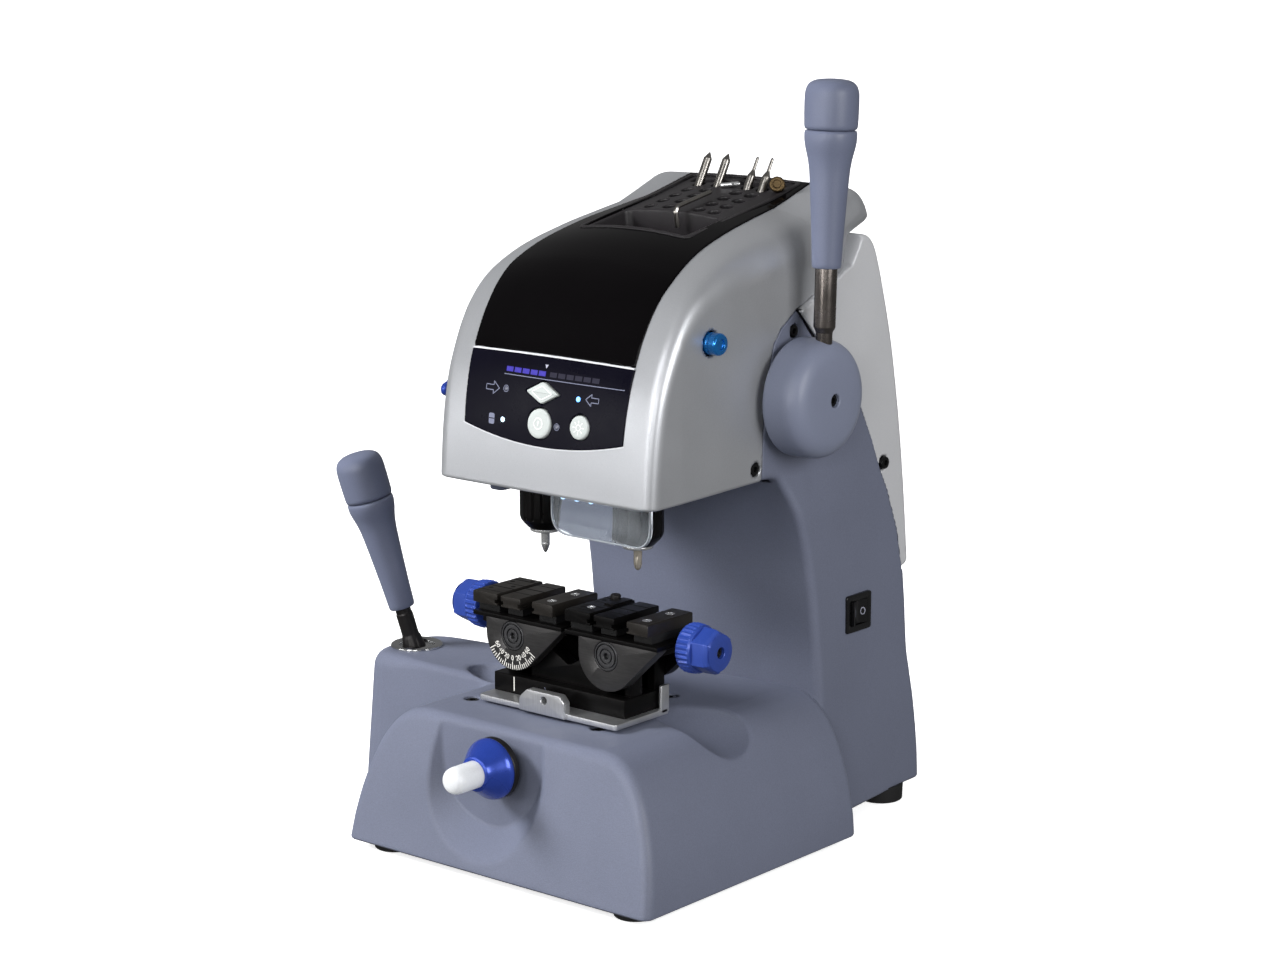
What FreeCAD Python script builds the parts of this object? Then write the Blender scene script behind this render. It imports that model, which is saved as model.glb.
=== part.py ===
import FreeCAD, Part
import math
import os
import Sketcher
from FreeCAD import Vector as V, Placement, Rotation

# Key duplicating machine with a vertical cutter and a tracer side by side.
# Millimetres, +Z up, operator at -Y, origin on the table between the feet.

doc = FreeCAD.newDocument("key_copier")
sheet = doc.addObject("Spreadsheet::Sheet", "dims")
cells = {}


def dim(alias, value):
    """One driving dimension: a plain number in the sheet with a word alias."""
    if alias not in cells:
        row = len(cells) + 1
        sheet.set("A%d" % row, alias)
        sheet.set("B%d" % row, "%.5f" % value)
        sheet.setAlias("B%d" % row, alias)
        cells[alias] = float(value)
    return "dims." + alias


def bind(obj, prop, alias, value):
    if isinstance(value, str):
        obj.setExpression(prop, value)
    else:
        obj.setExpression(prop, dim(alias, value))


X_AXIS = Rotation(V(0, 1, 0), 90)       # local z along +X
Y_AXIS = Rotation(V(1, 0, 0), -90)      # local z along +Y
YM_AXIS = Rotation(V(1, 0, 0), 90)      # local z along -Y
XM_AXIS = Rotation(V(0, 1, 0), -90)     # local z along -X
Z_AXIS = Rotation()
LETTERS = "abcdefghijklmnopqrstuvwxyz"


def place(obj, name, at, rot=Z_AXIS):
    obj.Placement = Placement(V(*[0.0 if isinstance(c, str) else c for c in at]), rot)
    for c, k in zip(at, "xyz"):
        bind(obj, "Placement.Base." + k, name + "_pos_" + k, c)
    return obj


def box(name, x0, x1, y0, y1, z0, z1):
    o = doc.addObject("Part::Box", name)
    bind(o, "Length", name + "_size_x", x1 - x0)
    bind(o, "Width", name + "_size_y", y1 - y0)
    bind(o, "Height", name + "_size_z", z1 - z0)
    return place(o, name, (x0, y0, z0))


def cyl(name, r, length, at, rot=Z_AXIS):
    o = doc.addObject("Part::Cylinder", name)
    bind(o, "Radius", name + "_rad", r)
    bind(o, "Height", name + "_len", length)
    return place(o, name, at, rot)


def cone(name, r0, r1, length, at, rot=Z_AXIS):
    o = doc.addObject("Part::Cone", name)
    bind(o, "Radius1", name + "_rad_low", r0)
    bind(o, "Radius2", name + "_rad_high", r1)
    bind(o, "Height", name + "_len", length)
    return place(o, name, at, rot)


def ellipsoid(name, rx, ry, rz, at, rot=Z_AXIS):
    o = doc.addObject("Part::Ellipsoid", name)
    bind(o, "Radius1", name + "_radius_z", rz)
    bind(o, "Radius2", name + "_radius_x", rx)
    bind(o, "Radius3", name + "_radius_y", ry)
    o.Angle1, o.Angle2, o.Angle3 = -90.0, 90.0, 360.0
    return place(o, name, at, rot)


def fuse(name, *objs):
    o = doc.addObject("Part::MultiFuse", name)
    o.Shapes = list(objs)
    return o


def cut(name, base, *tools):
    o = doc.addObject("Part::Cut", name)
    o.Base = base
    o.Tool = tools[0] if len(tools) == 1 else fuse(name + "_tools", *tools)
    return o


def common(name, a, b):
    o = doc.addObject("Part::Common", name)
    o.Base = a
    o.Tool = b
    return o


def group(name, *objs):
    o = doc.addObject("Part::Compound", name)
    o.Links = list(objs)
    return o


def plane_of(body, role):
    return [f for f in body.Origin.OriginFeatures if f.Role == role][0]


def sketch(body, name, role, pts):
    """Closed polygon whose corners are dimensioned from the sketch origin."""
    sk = body.newObject("Sketcher::SketchObject", name)
    sk.AttachmentSupport = (plane_of(body, role), [""])
    sk.MapMode = "FlatFace"
    n = len(pts)
    for i in range(n):
        a, b = pts[i], pts[(i + 1) % n]
        sk.addGeometry(Part.LineSegment(V(a[0], a[1], 0), V(b[0], b[1], 0)), False)
    for i in range(n):
        sk.addConstraint(Sketcher.Constraint("Coincident", i, 2, (i + 1) % n, 1))
    for i, p in enumerate(pts):
        for kind, k, axis in (("DistanceX", 0, -2), ("DistanceY", 1, -1)):
            c = p[k]
            if abs(c) < 1e-9:
                sk.addConstraint(Sketcher.Constraint("PointOnObject", i, 1, axis))
                continue
            ends = (-1, 1, i, 1) if c > 0 else (i, 1, -1, 1)
            j = sk.addConstraint(Sketcher.Constraint(kind, *ends, abs(c)))
            tag = "%s_%s" % ("across" if k == 0 else "along", LETTERS[i % 26] * (1 + i // 26))
            sk.renameConstraint(j, tag)
            sk.setExpression("Constraints." + tag, dim("%s_%s" % (name, tag), abs(c)))
    return sk


def turned(name, pts, at, rot=Z_AXIS):
    """Piece turned about its own axis: pts are (radius, distance along the axis)."""
    body = doc.addObject("PartDesign::Body", name)
    sk = sketch(body, name + "_profile", "XZ_Plane", pts)
    rev = body.newObject("PartDesign::Revolution", name + "_turn")
    rev.Profile = sk
    rev.ReferenceAxis = (sk, ["V_Axis"])
    rev.Angle = 360.0
    body.Tip = rev
    return place(body, name, at, rot)


def prism(name, pts, length, at, rot=Z_AXIS):
    """Straight pad of a dimensioned outline."""
    body = doc.addObject("PartDesign::Body", name)
    sk = sketch(body, name + "_outline", "XY_Plane", pts)
    pad = body.newObject("PartDesign::Pad", name + "_pad")
    pad.Profile = sk
    pad.Type = 0
    bind(pad, "Length", name + "_len", length)
    body.Tip = pad
    return place(body, name, at, rot)


SIDE = Rotation(V(0, 1, 0), V(0, 0, 1), V(1, 0, 0))     # outline in (y, z), pad along +X
FRONT = Rotation(V(1, 0, 0), V(0, 0, 1), V(0, -1, 0))   # outline in (x, z), pad along -Y


def side_prism(name, pts, x0, x1):
    return prism(name, pts, x1 - x0, (x0, 0.0, 0.0), SIDE)


def front_prism(name, pts, y0, y1):
    return prism(name, pts, y1 - y0, (0.0, y1, 0.0), FRONT)


def feature(name, shape):
    o = doc.addObject("Part::Feature", name)
    o.Shape = shape
    return o


def polygon(pts):
    return Part.makePolygon([V(*p) for p in pts] + [V(*pts[0])])


def loft(sections):
    return Part.makeLoft([polygon(s) for s in sections], True, True)


def val(alias, value):
    dim(alias, value)
    return cells[alias]


node = {}


def keep(obj, label=None):
    obj.Label = label or obj.Name
    node[obj.Label] = obj
    return obj


# ---------------------------------------------------------------- shared sizes
TOOL_X = val("tool_spread_half", 41.1)      # tracer at -X, cutter at +X
TOOL_Y = val("tool_line_back", -69.3)
HUB_Y = val("lever_axis_back", 27.0)
HUB_Z = val("lever_axis_up", 316.0)
STICK_X = val("stick_axis_side", -196.5)
STICK_Y = val("stick_axis_back", -36.4)
STICK_Z = val("stick_axis_up", 97.0)
ARM = val("stick_arm_length", 72.0)
PIV_X = val("clamp_pivot_side", 41.6)
PIV_Z = val("clamp_pivot_up", 151.6)
BASE_TOP = val("base_top_height", 104.5)

# ---------------------------------------------------------------- base housing
# Block with drafted front and rounded shoulders, one moulding with the wing that
# carries the control stick on its left.
half = [(133.5, 6.0), (131.0, 30.0), (127.0, 50.0), (121.5, 67.0), (115.0, 82.0), (107.0, 93.0), (97.0, 101.0), (86.0, BASE_TOP)]
prof = half + [(-x, z) for x, z in reversed(half)]
block = front_prism("base_block", prof, -173.5, 57.6)
rake = side_prism("base_rake", [(-173.5, 6.0), (57.6, 6.0), (57.6, 110.0), (-148.0, 110.0), (-152.5, 104.0), (-155.5, 99.0)], -140.0, 140.0)
block = common("base_front", block, rake)


def wing_ring(grow, z):
    p = [(-82.0, -77.0 - grow), (-200.0, -77.0 - grow), (-217.0 - 0.7 * grow, -70.0 - 0.7 * grow), (-226.0 - grow, -54.0),
         (-227.0 - grow, -20.0), (-221.0 - 0.7 * grow, -4.0 + 0.7 * grow), (-204.0, 7.0 + grow), (-82.0, 14.0 + grow)]
    return [(x, y, z) for x, y in p]


WALL = val("base_wall", 5.0)
wing = feature("wing_block", loft([wing_ring(0.0, 6.0), wing_ring(-5.0, 80.0), wing_ring(-7.0, 96.0), wing_ring(-10.0, 102.0), wing_ring(-14.0, 105.0)]))
shell = fuse("base_outer", block, wing)
inner = [(120.0, 5.0), (120.0, 40.0), (112.5, 66.0), (104.0, 80.0), (95.0, 90.0), (82.0, 98.0)]
cavity = front_prism("base_cavity", inner + [(-x, z) for x, z in reversed(inner)], -148.0, 50.0)
scoops, scoop_walls = [], []
for side, sx, lean, up, rx, ry, rz in (("right", 90.0, 18.0, 109.0, 50.0, 26.0, 18.0), ("left", -88.0, -9.0, 109.5, 42.0, 20.0, 14.0)):
    at, turn = (sx, -50.0, up), Rotation(V(0, 1, 0), lean)
    scoops.append(ellipsoid("finger_scoop_" + side, rx, ry, rz, at, turn))
    scoop_walls.append(ellipsoid("scoop_wall_" + side, rx + 4.0, ry + 4.0, rz + 4.0, at, turn))
cavity = cut("base_cavity_trim", cavity, *scoop_walls)
wing_cavity = feature("wing_cavity", loft([wing_ring(-WALL, 5.0), wing_ring(-5.0 - WALL, 80.0), wing_ring(-7.0 - WALL, 98.5)]))
wing_cavity = cut("wing_cavity_trim", wing_cavity, scoop_walls[1])
throat = box("column_seat", -101.4, 101.4, 42.0, 80.0, 0.0, 120.0)
table_gap = box("table_aperture", -36.0, 36.0, -108.0, -28.0, 90.0, 115.0)
stick_hole = cyl("stick_hole", 18.0, 30.0, (STICK_X, STICK_Y, 85.0))
knob_recess_floor = -155.0
KNOB_X = val("front_knob_side", -4.5)
recess = prism("knob_recess", [(-57.0, 112.0), (-58.0, 85.0), (-54.0, 62.0), (-43.0, 42.0), (-24.0, 34.0), (10.0, 36.0), (30.0, 48.0), (39.0, 68.0), (43.0, 112.0)],
               40.0, (0.0, knob_recess_floor, 0.0), FRONT)
knob_hole = cyl("knob_hole", 5.06, 30.0, (KNOB_X, -170.0, 80.0), Y_AXIS)
keep(cut("base_housing", shell, cavity, wing_cavity, throat, table_gap, stick_hole, recess, knob_hole, *scoops))

keep(fuse("bottom_plate", box("plate_main", -118.0, 118.0, -147.0, 41.0, 6.0, 8.5), box("plate_wing", -204.0, -110.0, -64.0, -2.0, 6.0, 8.5)))
feet = [cyl("foot_%s" % n, 15.0 if y < 0 else 14.0, 6.0, (x, y, 0.0)) for n, x, y in
        (("front_right", 108.0, -152.0), ("front_left", -108.0, -152.0), ("rear_right", 86.0, 152.0), ("rear_left", -86.0, 152.0))]
keep(group("rubber_feet", *feet))

# ---------------------------------------------------------------- column
col_front = [(45.0, 6.0), (45.0, 98.0), (44.0, 113.0), (41.0, 142.0), (38.5, 171.0), (34.0, 197.0), (29.5, 215.0), (25.0, 229.0), (21.0, 240.0), (16.5, 253.0), (12.5, 262.4)]
col_v = [(-3.6, 262.4), (-2.9, 283.0), (-1.1, 310.0), (8.2, 352.0), (32.2, 372.2)]
col_rear = [(43.4, 360.0), (103.4, 298.5), (118.4, 271.5), (129.4, 247.5), (137.4, 232.5), (150.4, 201.0), (156.0, 171.0), (159.0, 149.0), (162.7, 112.5), (167.0, 95.0), (173.0, 71.0), (179.0, 40.0), (181.0, 11.0), (178.0, 6.0)]
column_outer = side_prism("column_outer", col_front + col_v + col_rear, -101.0, 101.0)
plan = prism("column_plan", [(-101.0, 40.0), (-101.0, -20.0), (101.0, -20.0), (101.0, 40.0), (98.0, 150.0), (92.0, 168.0), (78.0, 181.0), (-78.0, 181.0), (-92.0, 168.0), (-98.0, 150.0)], 420.0, (0.0, 0.0, 0.0))
column_outer = common("column_form", column_outer, plan)
col_low = side_prism("column_cavity", [(60.0, 5.0), (160.0, 5.0), (158.0, 60.0), (149.0, 112.0), (143.0, 165.0), (118.0, 240.0), (60.0, 257.0), (54.0, 200.0)], -89.0, 89.0)
col_high = box("cheek_gap", -86.0, 86.0, -20.0, 190.0, 256.0, 400.0)
shaft_eye = cyl("shaft_eye", 10.05, 30.0, (80.0, HUB_Y, HUB_Z), X_AXIS)
boss = cyl("lever_boss", 24.0, 3.2, (100.5, HUB_Y, HUB_Z), X_AXIS)
switch_seat = box("switch_seat", 80.0, 110.0, 87.5, 110.5, 141.5, 162.5)
inlet_seat = box("inlet_seat", 22.0, 78.0, 168.0, 200.0, 27.0, 63.0)
inlet_hole = box("inlet_hole", 35.0, 65.0, 150.0, 175.0, 34.0, 56.0)
screw_at = [(98.6, 133.7, 252.9), (99.5, 30.0, 359.0), (94.0, -11.1, 270.4)]
screw_pits = [cyl("screw_pit_%s_%s" % (LETTERS[i], "right" if s > 0 else "left"), 5.0, 12.0, (s * (x - 2.0) if s > 0 else -x + 2.0, y, z), X_AXIS if s > 0 else XM_AXIS)
              for i, (x, y, z) in enumerate(screw_at) for s in (1, -1)]
keep(cut("column_housing", fuse("column_with_boss", column_outer, boss), col_low, col_high, shaft_eye, switch_seat, inlet_seat, inlet_hole, *screw_pits[2:4]))

# ---------------------------------------------------------------- rear cover
rc = [(156.8, 171.6), (165.0, 176.0), (160.0, 221.0), (155.0, 258.0), (149.0, 295.0), (140.0, 339.0), (129.0, 379.0), (121.0, 404.0), (116.0, 413.0), (109.0, 416.6), (104.6, 415.4),
      (93.2, 397.4), (33.2, 372.6), (44.0, 360.5), (104.0, 299.0), (119.0, 272.0), (130.0, 248.0), (138.0, 233.0), (151.0, 201.4)]
rear_outer = common("rear_form", side_prism("rear_outer", rc, -99.0, 99.0),
                    prism("rear_plan", [(-99.0, 0.0), (99.0, 0.0), (99.0, 130.0), (95.0, 150.0), (86.0, 166.0), (-86.0, 166.0), (-95.0, 150.0), (-99.0, 130.0)], 460.0, (0.0, 0.0, 0.0)))
rear_inner = side_prism("rear_inner", [(20.0, 150.0), (150.0, 195.0), (156.5, 221.0), (151.5, 258.0), (145.5, 295.0), (136.5, 339.0), (125.5, 378.0), (118.0, 402.0), (112.0, 409.0), (108.0, 410.0), (95.0, 392.0), (20.0, 361.0)], -95.5, 95.5)
keep(cut("rear_cover", rear_outer, rear_inner, *screw_pits[0:2]))

# ---------------------------------------------------------------- head cover
# Crowned shell drawn as a run of cross-sections from the front face to the rear end.
stations = [(-121.0, 264.0, 80.0), (-118.0, 300.0, 88.0), (-113.0, 331.0, 92.0), (-104.5, 349.0, 94.0), (-98.0, 366.0, 94.6), (-88.0, 383.0, 95.0), (-79.0, 393.0, 95.0), (-65.0, 404.0, 95.0),
            (-40.0, 419.0, 95.0), (-5.0, 429.0, 95.0), (25.0, 436.0, 95.0), (68.0, 442.5, 95.0), (105.0, 449.0, 94.0), (117.0, 442.0, 92.0), (125.0, 430.0, 88.0)]
HEAD_LOW = val("head_bottom_height", 262.0)
CROWN = val("head_crown", 12.0)


def head_section(y, top, w, inset, lift):
    drop = min(15.0, 0.6 * (top - HEAD_LOW))
    w = w - inset
    pts = [(w, HEAD_LOW - lift), (w, top - inset - CROWN * (w / 90.0) ** 2 - drop), (w - 3.5, top - inset - CROWN * (w / 90.0) ** 2 - 0.35 * drop)]
    for f in (0.86, 0.7, 0.45, 0.2):
        pts.append((w * f, top - inset - CROWN * (w * f / 90.0) ** 2 * (1.0 if top > HEAD_LOW + 20 else 0.1)))
    if top < HEAD_LOW + 20:
        pts = [(w, HEAD_LOW - lift), (w, HEAD_LOW + 0.4), (w - 3.5, HEAD_LOW + 0.8)] + [(w * f, HEAD_LOW + 1.2) for f in (0.86, 0.7, 0.45, 0.2)]
    return [(x, y, z) for x, z in pts] + [(-x, y, z) for x, z in reversed(pts)]


outer_loft = loft([head_section(y, t, w, 0.0, 0.0) for y, t, w in stations])
skin_loft = loft([head_section(y - (1.2 if y < -60 else 0.0), t + 1.2, w, 0.0, 0.0) for y, t, w in stations])
inner_loft = loft([head_section(y + (3.5 if y < 0 else -3.5 if y > 100 else 0.0), t, w, 3.5, 8.0) for y, t, w in stations[1:]])
head_outer = feature("head_outer", outer_loft)
head_inner = feature("head_inner", inner_loft)
v_cut = side_prism("head_rear_cut", [(-4.2, 250.0), (-4.2, 263.0), (-3.5, 283.0), (-1.7, 310.0), (7.6, 352.4), (31.8, 372.8), (92.8, 398.0), (104.0, 416.0), (119.0, 421.0), (124.0, 428.0), (190.0, 428.0), (190.0, 250.0)], -120.0, 120.0)
TRAY_Y, TRAY_Z, TRAY_TILT = 37.0, 436.6, math.degrees(math.atan(0.187))
tray_rot = Rotation(V(1, 0, 0), TRAY_TILT)
tray_well = doc.addObject("Part::Box", "tray_well")
bind(tray_well, "Length", "tray_well_length_x", 90.0)
bind(tray_well, "Width", "tray_well_length_y", 124.0)
bind(tray_well, "Height", "tray_well_length_z", 60.0)
mid = Placement(V(0, TRAY_Y, TRAY_Z), tray_rot)
tray_well.Placement = mid.multiply(Placement(V(-45.0, -62.0, -40.0), Rotation()))
side_hole = cyl("side_button_hole", 8.4, 40.0, (70.0, -60.0, 362.0), X_AXIS)
left_hole = cyl("left_lever_hole", 4.06, 40.0, (-110.0, -98.0, 316.0), X_AXIS)
# the panel plate and the three key wells
PAN = Rotation(V(1, 0, 0), -math.degrees(math.atan(5.0 / 30.0)))
PY, PZ = -118.4, 300.0


def panel_pt(z):
    return PY + (z - PZ) * 5.0 / 30.0


BUTTONS = {"mode_button": (-1.0, 325.8), "power_button": (-1.7, 305.6), "light_button": (32.9, 307.0)}
INWARD = Rotation(V(1, 0, 0), -90 - math.degrees(math.atan(5.0 / 30.0)))      # local z into the head
key_wells = [cyl(n + "_well", 10.6 if n == "power_button" else 8.6, 14.0, (x, panel_pt(z) - 4.0, z + 0.6), INWARD) for n, (x, z) in BUTTONS.items() if n != "mode_button"]
diamond = [(-15.2, 0.0), (0.0, -8.2), (15.2, 0.0), (0.0, 8.2)]
key_wells.append(prism("mode_button_well", diamond, 14.0, (-1.0, panel_pt(325.8) - 4.0, 325.8 + 0.6), INWARD))
keep(cut("head_cover", head_outer, head_inner, v_cut, tray_well, side_hole, left_hole, *(key_wells + screw_pits[4:6])))

skin = feature("panel_skin", skin_loft.cut(outer_loft))
top_zone = box("top_panel_zone", -70.0, 70.0, -113.0, -29.5, 348.6, 440.0)
keep(common("top_panel", skin, top_zone))
pan_zone = front_prism("control_panel_zone", [(-70.5, 348.2), (-70.0, 299.5), (-50.0, 294.0), (-25.0, 291.0), (0.0, 290.0), (25.0, 291.0), (50.0, 294.0), (70.0, 299.5), (70.5, 348.2)], -130.0, -100.0)
panel = common("control_panel_blank", skin, pan_zone)
LEDS = [(-33.7, 325.4), (29.5, 325.3), (-34.4, 304.8), (13.6, 305.6)]
led_holes = [cyl("led_hole_" + LETTERS[i], 1.85, 9.0, (x, panel_pt(z) - 4.0, z + 0.6), INWARD) for i, (x, z) in enumerate(LEDS)]
keep(cut("control_panel", panel, *(key_wells + led_holes)))
PROUD = 1.9
for n, (x, z) in BUTTONS.items():
    if n == "mode_button":
        keep(prism(n, [(-14.4, 0.0), (0.0, -7.6), (14.4, 0.0), (0.0, 7.6)], 5.0, (x, panel_pt(z) - PROUD, z + 0.3), INWARD))
    else:
        r = 10.0 if n == "power_button" else 8.0
        keep(turned(n, [(0.0, 0.4), (r - 2.0, 0.0), (r - 0.5, 0.2), (r, 0.9), (r, 5.0), (0.0, 5.0)], (x, panel_pt(z) - PROUD, z + 0.3), INWARD))
leds = [cyl("led_lens_" + LETTERS[i], 1.8, 1.3, (x, panel_pt(z) - 1.5, z + 0.2), INWARD) for i, (x, z) in enumerate(LEDS)]
lamps = [cyl("work_led_" + LETTERS[i], 3.0, 3.0, (x, -98.0, 259.0)) for i, x in enumerate((2.0, 14.0, 26.0))]
keep(group("led_lenses", *(leds + lamps)))

# ---------------------------------------------------------------- tool tray and loose tools
rim = box("tray_rim", -49.0, 49.0, -66.0, 66.0, 1.0, 2.4)
well = box("tray_body", -44.6, 44.6, -61.6, 61.6, -24.0, 1.2)
bin_cut = box("tray_bin", -40.0, 40.0, -59.5, -18.0, -21.5, 10.0)
slot_cut = box("tray_rear_slot", -40.0, 40.0, 49.5, 58.5, -15.0, 10.0)
holes = []
HOLE_X = (-27.0, -10.5, 15.8, 28.6)
HOLE_Y = (-10.4, 3.4, 17.2, 31.0, 44.0)
for i, hx in enumerate(HOLE_X):
    for j, hy in enumerate(HOLE_Y):
        holes.append(cyl("socket_%s%s" % (LETTERS[i], LETTERS[j]), 3.15, 22.0, (hx, hy, -14.0)))
tray = cut("tray_form", fuse("tray_blank", rim, well), bin_cut, slot_cut, *holes)
tray.Placement = mid
keep(tray, "tool_tray")
TOOLS_AT = [(-10.5, 44.0, 27.0), (-27.0, 44.0, 27.0), (15.8, 44.0, 27.0), (28.6, 44.0, 27.0)]
loose = []
for i, (tx, ty, up) in enumerate(TOOLS_AT):
    if i < 2:
        t = turned("spare_cutter_" + LETTERS[i], [(0.0, 0.0), (3.0, 0.0), (3.0, up + 10.0), (0.4, up + 14.0), (0.0, up + 14.0)], (0.0, 0.0, 0.0))
    else:
        t = turned("spare_cutter_" + LETTERS[i], [(0.0, 0.0), (3.0, 0.0), (3.0, up), (1.3, up + 4.0), (1.3, up + 13.0), (0.0, up + 14.0)], (0.0, 0.0, 0.0))
    p = mid.multiply(Placement(V(tx, ty, -13.9), Rotation()))
    place(t, "spare_cutter_%s_at" % LETTERS[i], tuple(p.Base), p.Rotation)
    loose.append(t)
hex_long = prism("hex_key_long", [(1.5, 0.87), (0.0, 1.73), (-1.5, 0.87), (-1.5, -0.87), (0.0, -1.73), (1.5, -0.87)], 40.0, (0.0, 0.0, 0.0))
hex_short = prism("hex_key_short", [(1.5, 0.87), (0.0, 1.73), (-1.5, 0.87), (-1.5, -0.87), (0.0, -1.73), (1.5, -0.87)], 15.0, (0.0, 0.0, 0.0))
hex_key = fuse("hex_key", place(hex_long, "hex_long_at", (0.0, 0.0, 0.0), Y_AXIS), place(hex_short, "hex_short_at", (0.0, 0.0, -13.6)))
hex_key.Placement = mid.multiply(Placement(V(6.6, -24.5, 5.2), Rotation()))
keep(group("spare_tools", hex_key, *loose))

# ---------------------------------------------------------------- head underside
plate = box("underplate_blank", -84.0, 84.0, -108.0, 11.5, 262.0, 268.0)
tool_holes = [cyl("tool_hole_" + s, 20.0, 12.0, (x, TOOL_Y, 259.0)) for s, x in (("left", -TOOL_X), ("right", TOOL_X))]
ROD_X, ROD_Y, ROD_R = 68.0, -38.0, 7.0
rod_holes = [cyl("rod_hole_" + s, ROD_R, 12.0, (x, ROD_Y, 259.0)) for s, x in (("left", -ROD_X), ("right", ROD_X))]
keep(cut("head_underplate", plate, *(tool_holes + rod_holes)))
keep(group("guide_rods", *[cyl("guide_rod_" + s, ROD_R, 138.0, (x, ROD_Y, 262.0)) for s, x in (("left", -ROD_X), ("right", ROD_X))]))
keep(front_prism("clear_shield", [(-4.0, 262.0), (-4.0, 243.0), (0.0, 235.5), (8.0, 230.6), (18.0, 229.5), (66.0, 229.5), (76.0, 231.5), (81.0, 238.0), (82.0, 246.0), (82.0, 262.0)], -106.0, -103.2))


def helix(name, radius, wire, z0, z1, turns, at):
    line = Part.makeHelix((z1 - z0) / turns, z1 - z0, radius)
    ring = Part.Wire(Part.makeCircle(wire, V(radius, 0, 0), V(0, 1, 0)))
    coil = Part.Wire(line.Edges).makePipeShell([ring], True, True)
    o = feature(name, coil)
    return place(o, name, (at[0], at[1], z0), Z_AXIS)


WIRE = val("spring_wire_radius", 1.0)
springs = [helix("return_spring_" + s, val("spring_mean_radius", 9.6), WIRE, 269.3, 318.5, 8.0, (x, ROD_Y)) for s, x in (("left", -ROD_X), ("right", ROD_X))]
keep(group("return_springs", *springs))

# ---------------------------------------------------------------- spindle carriage
UP = 300.0
c_block = box("carriage_core", -82.0, 82.0, -92.0, -24.0, UP, UP + 46.0)
c_shelf = box("motor_shelf", -66.0, 6.0, -24.0, 81.0, UP + 40.0, UP + 46.0)
c_lug = box("rack_lug", 58.0, 80.0, -24.0, -5.0, UP + 2.0, UP + 44.0)
BEAR_R = val("bearing_outer_radius", 21.0)
SPIN_R = val("spindle_radius", 10.0)
bore = cyl("spindle_bore", BEAR_R, 60.0, (TOOL_X, TOOL_Y, UP - 5.0))
t_bore = cyl("tracer_bore", 9.05, 60.0, (-TOOL_X, TOOL_Y, UP - 5.0))
rod_bores = [cyl("rod_bore_" + s, ROD_R + 0.05, 60.0, (x, ROD_Y, UP - 5.0)) for s, x in (("left", -ROD_X), ("right", ROD_X))]
spring_wells = [cyl("spring_well_" + s, 11.6, 30.0, (x, ROD_Y, UP - 10.0)) for s, x in (("left", -ROD_X), ("right", ROD_X))]
MOT_X, MOT_Y = -30.0, 45.0
m_bore = cyl("motor_nose_hole", 12.0, 20.0, (MOT_X, MOT_Y, UP + 33.0))
keep(cut("spindle_carriage", fuse("carriage_blank", c_block, c_shelf, c_lug), bore, t_bore, m_bore, *(rod_bores + spring_wells)))
rings = [turned("bearing_" + n, [(SPIN_R + 0.05, 0.0), (BEAR_R, 0.0), (BEAR_R, 12.0), (SPIN_R + 0.05, 12.0)], (TOOL_X, TOOL_Y, z)) for n, z in (("lower", UP + 1.0), ("upper", UP + 33.0))]
keep(group("spindle_bearings", *rings))
motor = cut("drive_motor", fuse("motor_blank", turned("motor_case", [(0.0, 0.0), (20.0, 0.0), (30.0, 4.0), (30.0, 52.0), (0.0, 52.0)], (MOT_X, MOT_Y, 288.0)), cyl("motor_nose", 12.0, 6.0, (MOT_X, MOT_Y, 340.0))),
            cyl("motor_bore", 4.05, 60.0, (MOT_X, MOT_Y, 300.0)))
keep(motor)
PUL_Z = 352.0
R_M, R_S = val("motor_pulley_radius", 12.0), val("spindle_pulley_radius", 18.0)
keep(fuse("motor_pulley", cyl("motor_shaft", 4.0, 64.0, (MOT_X, MOT_Y, 301.0)),
          turned("motor_sheave", [(0.0, 0.0), (R_M + 2.5, 0.0), (R_M + 2.5, 1.2), (R_M, 1.6), (R_M, 11.4), (R_M + 2.5, 11.8), (R_M + 2.5, 13.0), (0.0, 13.0)], (MOT_X, MOT_Y, PUL_Z - 1.5))))


def belt_loop(p0, r0, p1, r1):
    """Closed band round two pulleys: two arcs and their outer tangents."""
    d = p1 - p0
    base = math.atan2(d.y, d.x)
    off = math.acos((r0 - r1) / d.Length)

    def at(p, r, a):
        return p + V(r * math.cos(a), r * math.sin(a), 0)

    a0, a1 = base + off, base - off
    arc0 = Part.Arc(at(p0, r0, a0), at(p0, r0, base + math.pi), at(p0, r0, a1)).toShape()
    arc1 = Part.Arc(at(p1, r1, a1), at(p1, r1, base), at(p1, r1, a0)).toShape()
    s0 = Part.LineSegment(at(p0, r0, a1), at(p1, r1, a1)).toShape()
    s1 = Part.LineSegment(at(p1, r1, a0), at(p0, r0, a0)).toShape()
    return Part.Wire([arc0, s0, arc1, s1])


pm, ps = V(MOT_X, MOT_Y, PUL_Z + 0.6), V(TOOL_X, TOOL_Y, PUL_Z + 0.6)
BELT = val("belt_thickness", 1.6)
rise = V(0, 0, val("belt_width", 8.8))
band = Part.Face(belt_loop(pm, R_M + 0.3 + BELT, ps, R_S + 0.3 + BELT)).extrude(rise)
keep(feature("drive_belt", band.cut(Part.Face(belt_loop(pm, R_M + 0.3, ps, R_S + 0.3)).extrude(rise))))
PITCH_R = val("pinion_pitch_radius", 19.5)
TOOTH = 4.0
rack_body = [(-5.0, 300.0), (5.0, 300.0)]
steps = 12
step = 2 * math.pi * PITCH_R / 20.0
z_first = HUB_Z - step * 6
for i in range(13):
    zc = z_first + step * i
    if 300.5 < zc - 0.4 * step and zc + 0.4 * step < 355.5:
        rack_body += [(5.0, zc - 0.32 * step), (5.0 + TOOTH * 0.75, zc - 0.13 * step), (5.0 + TOOTH * 0.75, zc + 0.13 * step), (5.0, zc + 0.32 * step)]
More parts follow.
